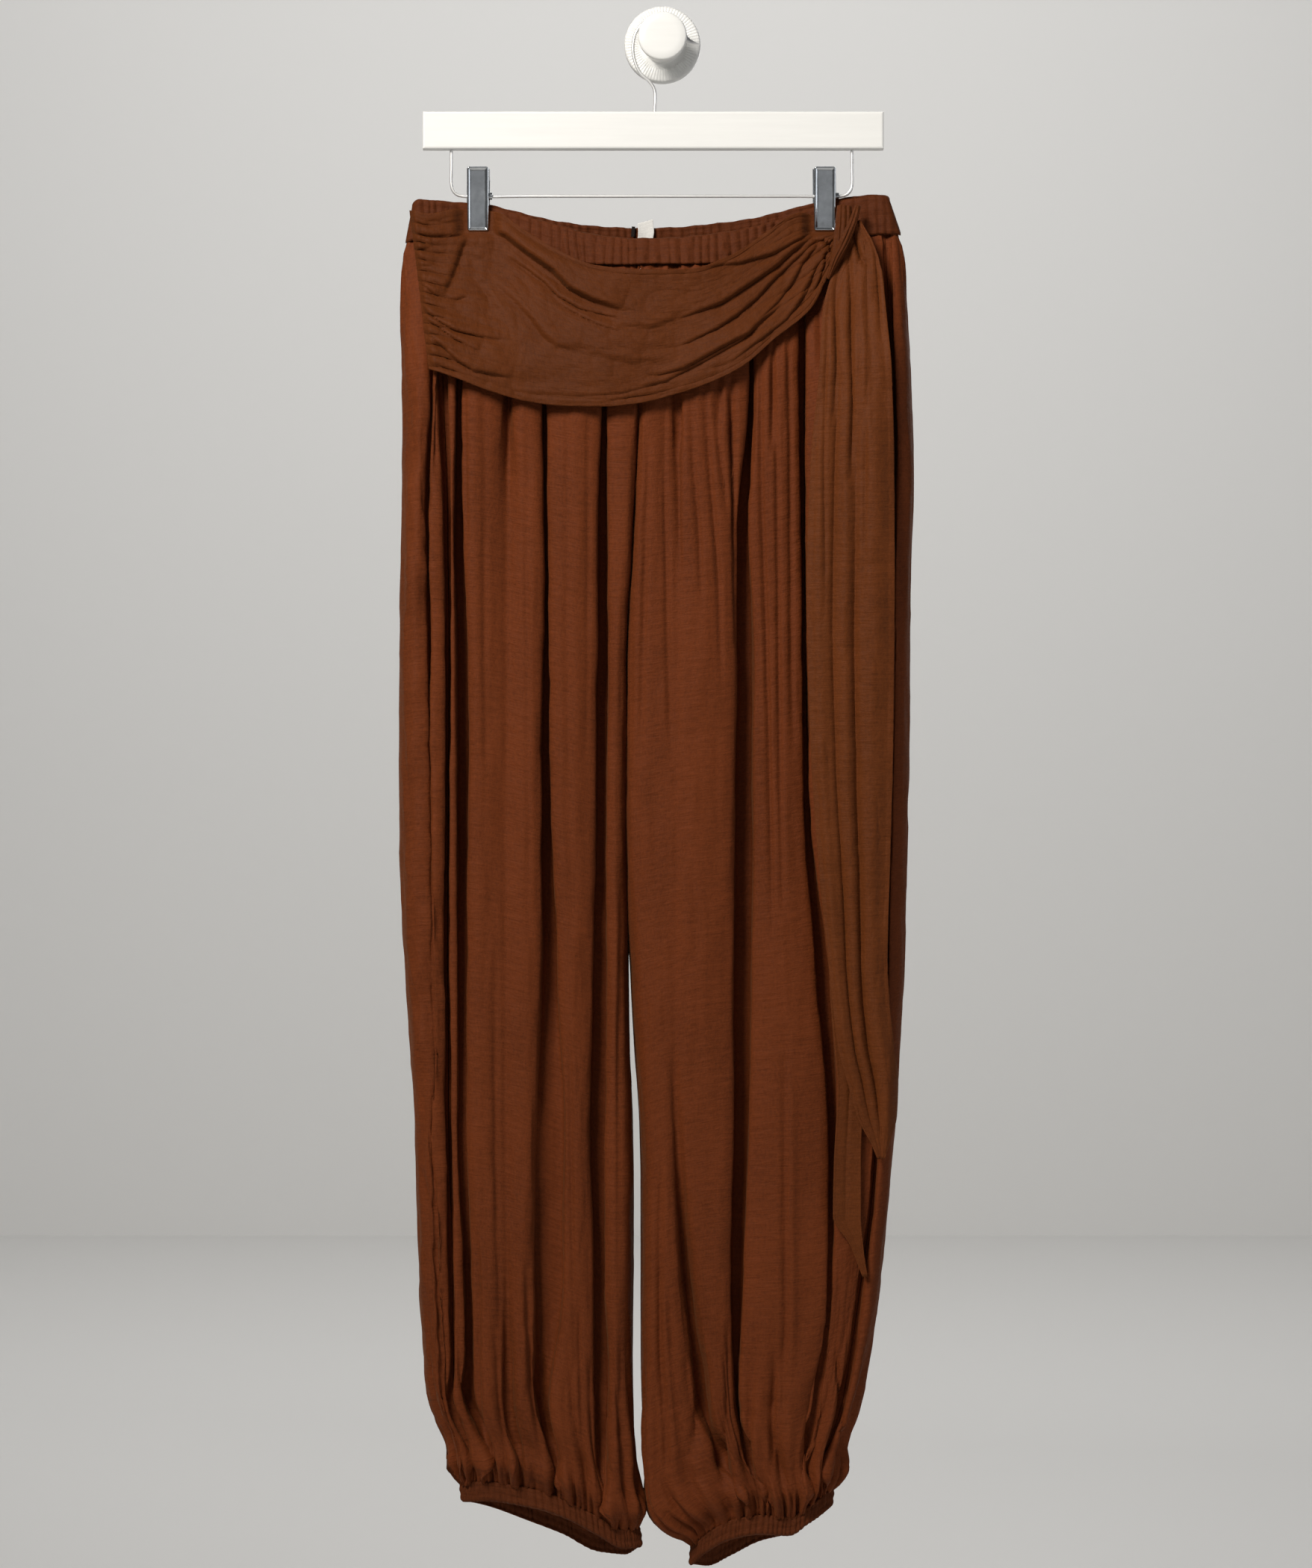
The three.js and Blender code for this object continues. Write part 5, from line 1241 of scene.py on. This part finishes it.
def strand(name, path, half, thick, taper_at, seed):
    """A rolled strand of cloth with lengthwise creases; taper_at has its half widths as shares."""
    count = 52
    centre = spline(path, count)
    wide, deep, angle = round_line(centre, 68)
    t = np.linspace(0, 1, count)[:, None]
    size = curve(np.linspace(0, 1, len(taper_at)), taper_at, t)
    lines = pleat(angle * 9 / (2 * math.pi) + 0.4 * noise(angle, t * 2, seed), 0.7)
    crimp = 1.3 * np.abs(np.sin(angle)) * lines + 0.4 * lumps(angle * 2, t * 4, seed + 1)
    x = np.cos(angle) * half * size
    y = np.sin(angle) * (thick * np.sqrt(size) + crimp * size)
    points = centre[:, None] + wide * x[:, :, None] + deep * y[:, :, None]
    n = normals(points, 1, True)
    outward = 1 if np.einsum("ijk,ijk->", n, points - centre[:, None]) > 0 else -1
    return shell(name, points, outward, sash_cloth, (name,), ring=True, wall=0.9)


def wire(name, path, radii, nodes):
    """Round wire in the hanger's plane with closed ends."""
    count, around = 150, 18
    centre = spline([(x, RAIL_Y, z) for x, z in path], count)
    radius = np.interp(np.linspace(0, 1, count), np.linspace(0, 1, len(radii)), radii)[:, None]
    side, _, angle = round_line(centre, around)
    x, y = np.cos(angle) * radius, np.sin(angle) * radius
    rings = centre[:, None] + side * x[:, :, None] + np.array([0, 1, 0]) * y[:, :, None]
    places = np.concatenate([rings.reshape(-1, 3), centre[:1], centre[-1:]])
    return hard_piece(name, places, tube_faces(count, around, True), wire_painted_shine, nodes, 50)


# Profile of the knob: how far out from its axis, and how far from the wall.
KNOB = [
    (0, 0), (29.6, 0), (29.6, 7.5), (29.2, 9), (28.2, 9.8), (26.8, 10), (24, 10.4), (21, 10.6),
    (19.4, 10.2), (18.6, 9.6), (15.4, 9.6), (14.7, 10.2), (14.7, 39.4), (15.6, 40), (17.6, 40),
    (18.4, 40.4), (18.75, 41.4), (18.75, 45.2), (18.3, 46.3), (17.2, 47), (12, 47.3), (0, 47.5),
]
# Ribs round its base, and the places of the profile that have them.
KNOB_RIBS = 72
RIBBED = range(3, 9)


def lathe_knob():
    """Knob with a ribbed base, a neck and a smooth face, turned about the Y axis."""
    around = 288
    angle = np.linspace(0, 2 * math.pi, around, endpoint=False)
    rings = []
    for i, (r, d) in enumerate(KNOB):
        rib = 0.42 * (np.abs(np.cos(angle * KNOB_RIBS / 2)) - 0.6) if i in RIBBED else 0
        rings.append(grid_of(r * np.cos(angle), -(d + rib), r * np.sin(angle)))
    places = np.concatenate(rings[1:-1] + [rings[0][:1], rings[-1][:1]])
    faces = tube_faces(len(KNOB) - 2, around)
    return hard_piece("knob_turned", places, faces, paint, ("wall_knob",), 40)


# Front plate of a clip: how far its face is from the wall at each height.
PLATE = {
    "z": [-100, -110, -118, -128, -138, -149.5],
    "y": [-42.6, -41.4, -40.4, -39.9, -39.2, -37.6],
}
# Half width of the plate, radius of its corners, width of its rim, and its wall.
PLATE_HALF = 8.4
PLATE_ROUND = 2.2
PLATE_RIM = 1.9
PLATE_WALL = 1.1


def clip_plate(name, centre, cols, rows):
    """Pressed steel plate with a raised rim all round."""
    top, foot = PLATE["z"][0], PLATE["z"][-1]
    z = mix(top, foot, np.linspace(0, 1, rows))[:, None]
    end = np.minimum(top - z, z - foot)
    inset = PLATE_ROUND - np.sqrt(PLATE_ROUND**2 - np.maximum(0, PLATE_ROUND - end) ** 2)
    closer = QUARTER * 0.92
    u = np.sin(np.linspace(-1, 1, cols) * closer)[None, :] / math.sin(closer)
    x = centre + u * (PLATE_HALF - inset)
    edge = np.minimum(PLATE_HALF - inset - np.abs(x - centre), end)
    rim = bell(edge, PLATE_RIM * 0.6, PLATE_RIM * 0.5) - 0.9 * smooth(0.35, 0, edge)
    dent = 0.12 * noise(x / 6, z / 8, 91) + 0.05 * noise(x / 2.2, z / 3, 92)
    y = curve(PLATE["z"], PLATE["y"], z) - rim - dent * smooth(2.2, 4, edge)
    points = grid_of(x, y, z)
    back = points + np.array([0, 1, 0]) * (PLATE_WALL + (rim * smooth(1.6, 0, edge))[:, :, None])
    places = np.concatenate([points.reshape(-1, 3), back.reshape(-1, 3)])
    return hard_piece(f"{name}_plate", places, sheet_faces(rows, cols), chrome, (name,), 60)


# Care label: where its left and right edges are at each height.
LABEL = {
    "z": [-141, -147, -152, -157.5],
    "left": [-19.3, -18.9, -19.2, -21.2],
    "right": [-7.2, -6.5, -7.2, -7.9],
}


def label_piece(cols, rows):
    """The care label, curled forward at its sides."""
    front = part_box("care_label")[0][1] / MM
    u = np.linspace(0, 1, cols)[None, :]
    v = np.linspace(0, 1, rows)[:, None]
    z = mix(LABEL["z"][0], LABEL["z"][-1], v) + 3.6 * u * (1 - v) ** 1.5
    x = mix(curve(LABEL["z"], LABEL["left"], z), curve(LABEL["z"], LABEL["right"], z), u)
    curl = 1.6 * (1 - u) ** 2 * smooth(-158, -146, z) + 0.9 * u**2 * (1 - v)
    y = front - curl - 0.2 * noise(u * 2, v * 2, 95)
    return shell(
        "care_label_sheet", grid_of(x, y, z), 1, white_label, ("care_label",), wall=0.3
    )


pieces = [
    leg_panel("leg_front_left", "left", LEFT_FRONT, -1, 165, 1.5),
    leg_panel("leg_front_right", "right", RIGHT_FRONT, -1, 165, 1.5),
    leg_panel("leg_back_left", "left", back_stations("left"), -1, 140, 1.95),
    leg_panel("leg_back_right", "right", back_stations("right"), 1, 140, 1.95),
    waist_half("waistband_front", "front", 520, 16),
    waist_half("waistband_back", "back", 440, 14),
    cuff_ring("cuff_left", "left", 672, 12),
    cuff_ring("cuff_right", "right", 672, 12),
    sash_piece(270, 140),
    tail_piece("tie_end_front", 76, 320),
    tail_piece("tie_end_back", 30, 240),
    strand("knot_wrap", KNOT_WRAP, 3.4, 2.8, (0.7, 1, 1.2, 1, 0.4), 71),
    strand("knot_under", KNOT_UNDER, 5.6, 3.2, (1, 1.15, 1.1, 0.8, 0.35), 75),
    label_piece(24, 30),
]
clip_plate("clip_left_front", CLIP_LEFT, 48, 90)
clip_plate("clip_right_front", CLIP_RIGHT, 48, 90)

# Radii at the hook's tip.
HOOK_TIP = [2.1, 2.3, 1.1]
hook_path = list(zip(HOOK["x"], HOOK["z"]))
wire("hook_wire", hook_path, [WIRE_R] * (len(hook_path) - 3) + HOOK_TIP, ("hanger_hook",))

# Corner of the rail: places in from its side and up from its foot.
RAIL_CORNER = [(0, 9), (1.1, 4.5), (4.5, 1.1), (9, 0)]


def rail_side(x, inward):
    """One side of the rail, from the bar down and round its corner."""
    corner = [(x + inward * across, RAIL_Z + up) for across, up in RAIL_CORNER]
    return [(x, RAIL_TOP), (x, -100), *corner]


rail_foot = [(x, RAIL_Z) for x in (-100, 0, 100)]
rail_path = rail_side(RAIL_LEFT, 1) + rail_foot + rail_side(RAIL_RIGHT, -1)[::-1]
wire("rail_wire", rail_path, [WIRE_R] * 2, ("hanger_rail",))
lathe_knob()

# Nodes of the solids that stay as they are, each with its finish.
KEPT = {
    "hanger_bar": paint,
    "clip_left_back": chrome,
    "clip_left_sleeve": chrome,
    "clip_right_back": chrome,
    "clip_right_sleeve": chrome,
    "size_label": dark_label,
}
for name, material in KEPT.items():
    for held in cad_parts[name].material_slots:
        held.material = material

pale, _, surface = blank_material("pale_studio", 0.85)
surface.inputs["Base Color"].default_value = (0.76, 0.75, 0.73, 1)
for name, place, turn in (("floor", (0, 0, -1.7), 0), ("backdrop", (0, 7, 2), QUARTER)):
    bpy.ops.mesh.primitive_plane_add(size=16, location=place, rotation=(turn, 0, 0))
    plane = bpy.context.object
    plane.name = name
    plane.data.materials.append(pale)

world = bpy.data.worlds.new("studio")
world.use_nodes = True
sky = world.node_tree.nodes["Background"]
sky.inputs["Color"].default_value = (0.9, 0.91, 0.93, 1)
sky.inputs["Strength"].default_value = 0.07
bpy.context.scene.world = world


def lamp(name, place, aim, size, power, colour=(1, 1, 1)):
    """A rectangular light that faces its aim."""
    light = bpy.data.lights.new(name, "AREA")
    light.shape = "RECTANGLE"
    light.size, light.size_y = size
    light.energy = power
    light.color = colour
    holder = bpy.data.objects.new(name, light)
    bpy.context.scene.collection.objects.link(holder)
    holder.location = place
    toward = np.subtract(aim, place)
    pitch = QUARTER + math.atan2(toward[2], math.hypot(toward[0], toward[1]))
    holder.rotation_euler = (pitch, 0, math.atan2(-toward[0], toward[1]))


lamp("key", (-1.05, -1.75, 1.05), (0, 0, -0.35), (0.8, 0.8), 66, (1.0, 0.96, 0.9))
lamp("fill", (2.6, -1.1, -0.1), (0, 0, -0.6), (1.4, 1.8), 11, (0.95, 0.97, 1.0))
lamp("front_card", (0, -4.4, 0.1), (0, 0, 0.1), (3.0, 3.0), 6)
lamp("back", (0.6, 2.4, 0.8), (0, 0, -0.5), (2.0, 2.0), 18)
lamp("backdrop_light", (0, 3.0, 2.6), (0, 7, 0.3), (4.0, 2.0), 150)

view = bpy.data.cameras.new("camera")
view.sensor_fit = "VERTICAL"
view.sensor_height = 36
view.lens = 94.1
camera = bpy.data.objects.new("camera", view)
camera.location = (-0.005, -3.2, -0.576)
camera.rotation_euler = (QUARTER, 0, 0)
bpy.context.scene.collection.objects.link(camera)
bpy.context.scene.camera = camera
bpy.context.scene.view_settings.view_transform = "Standard"
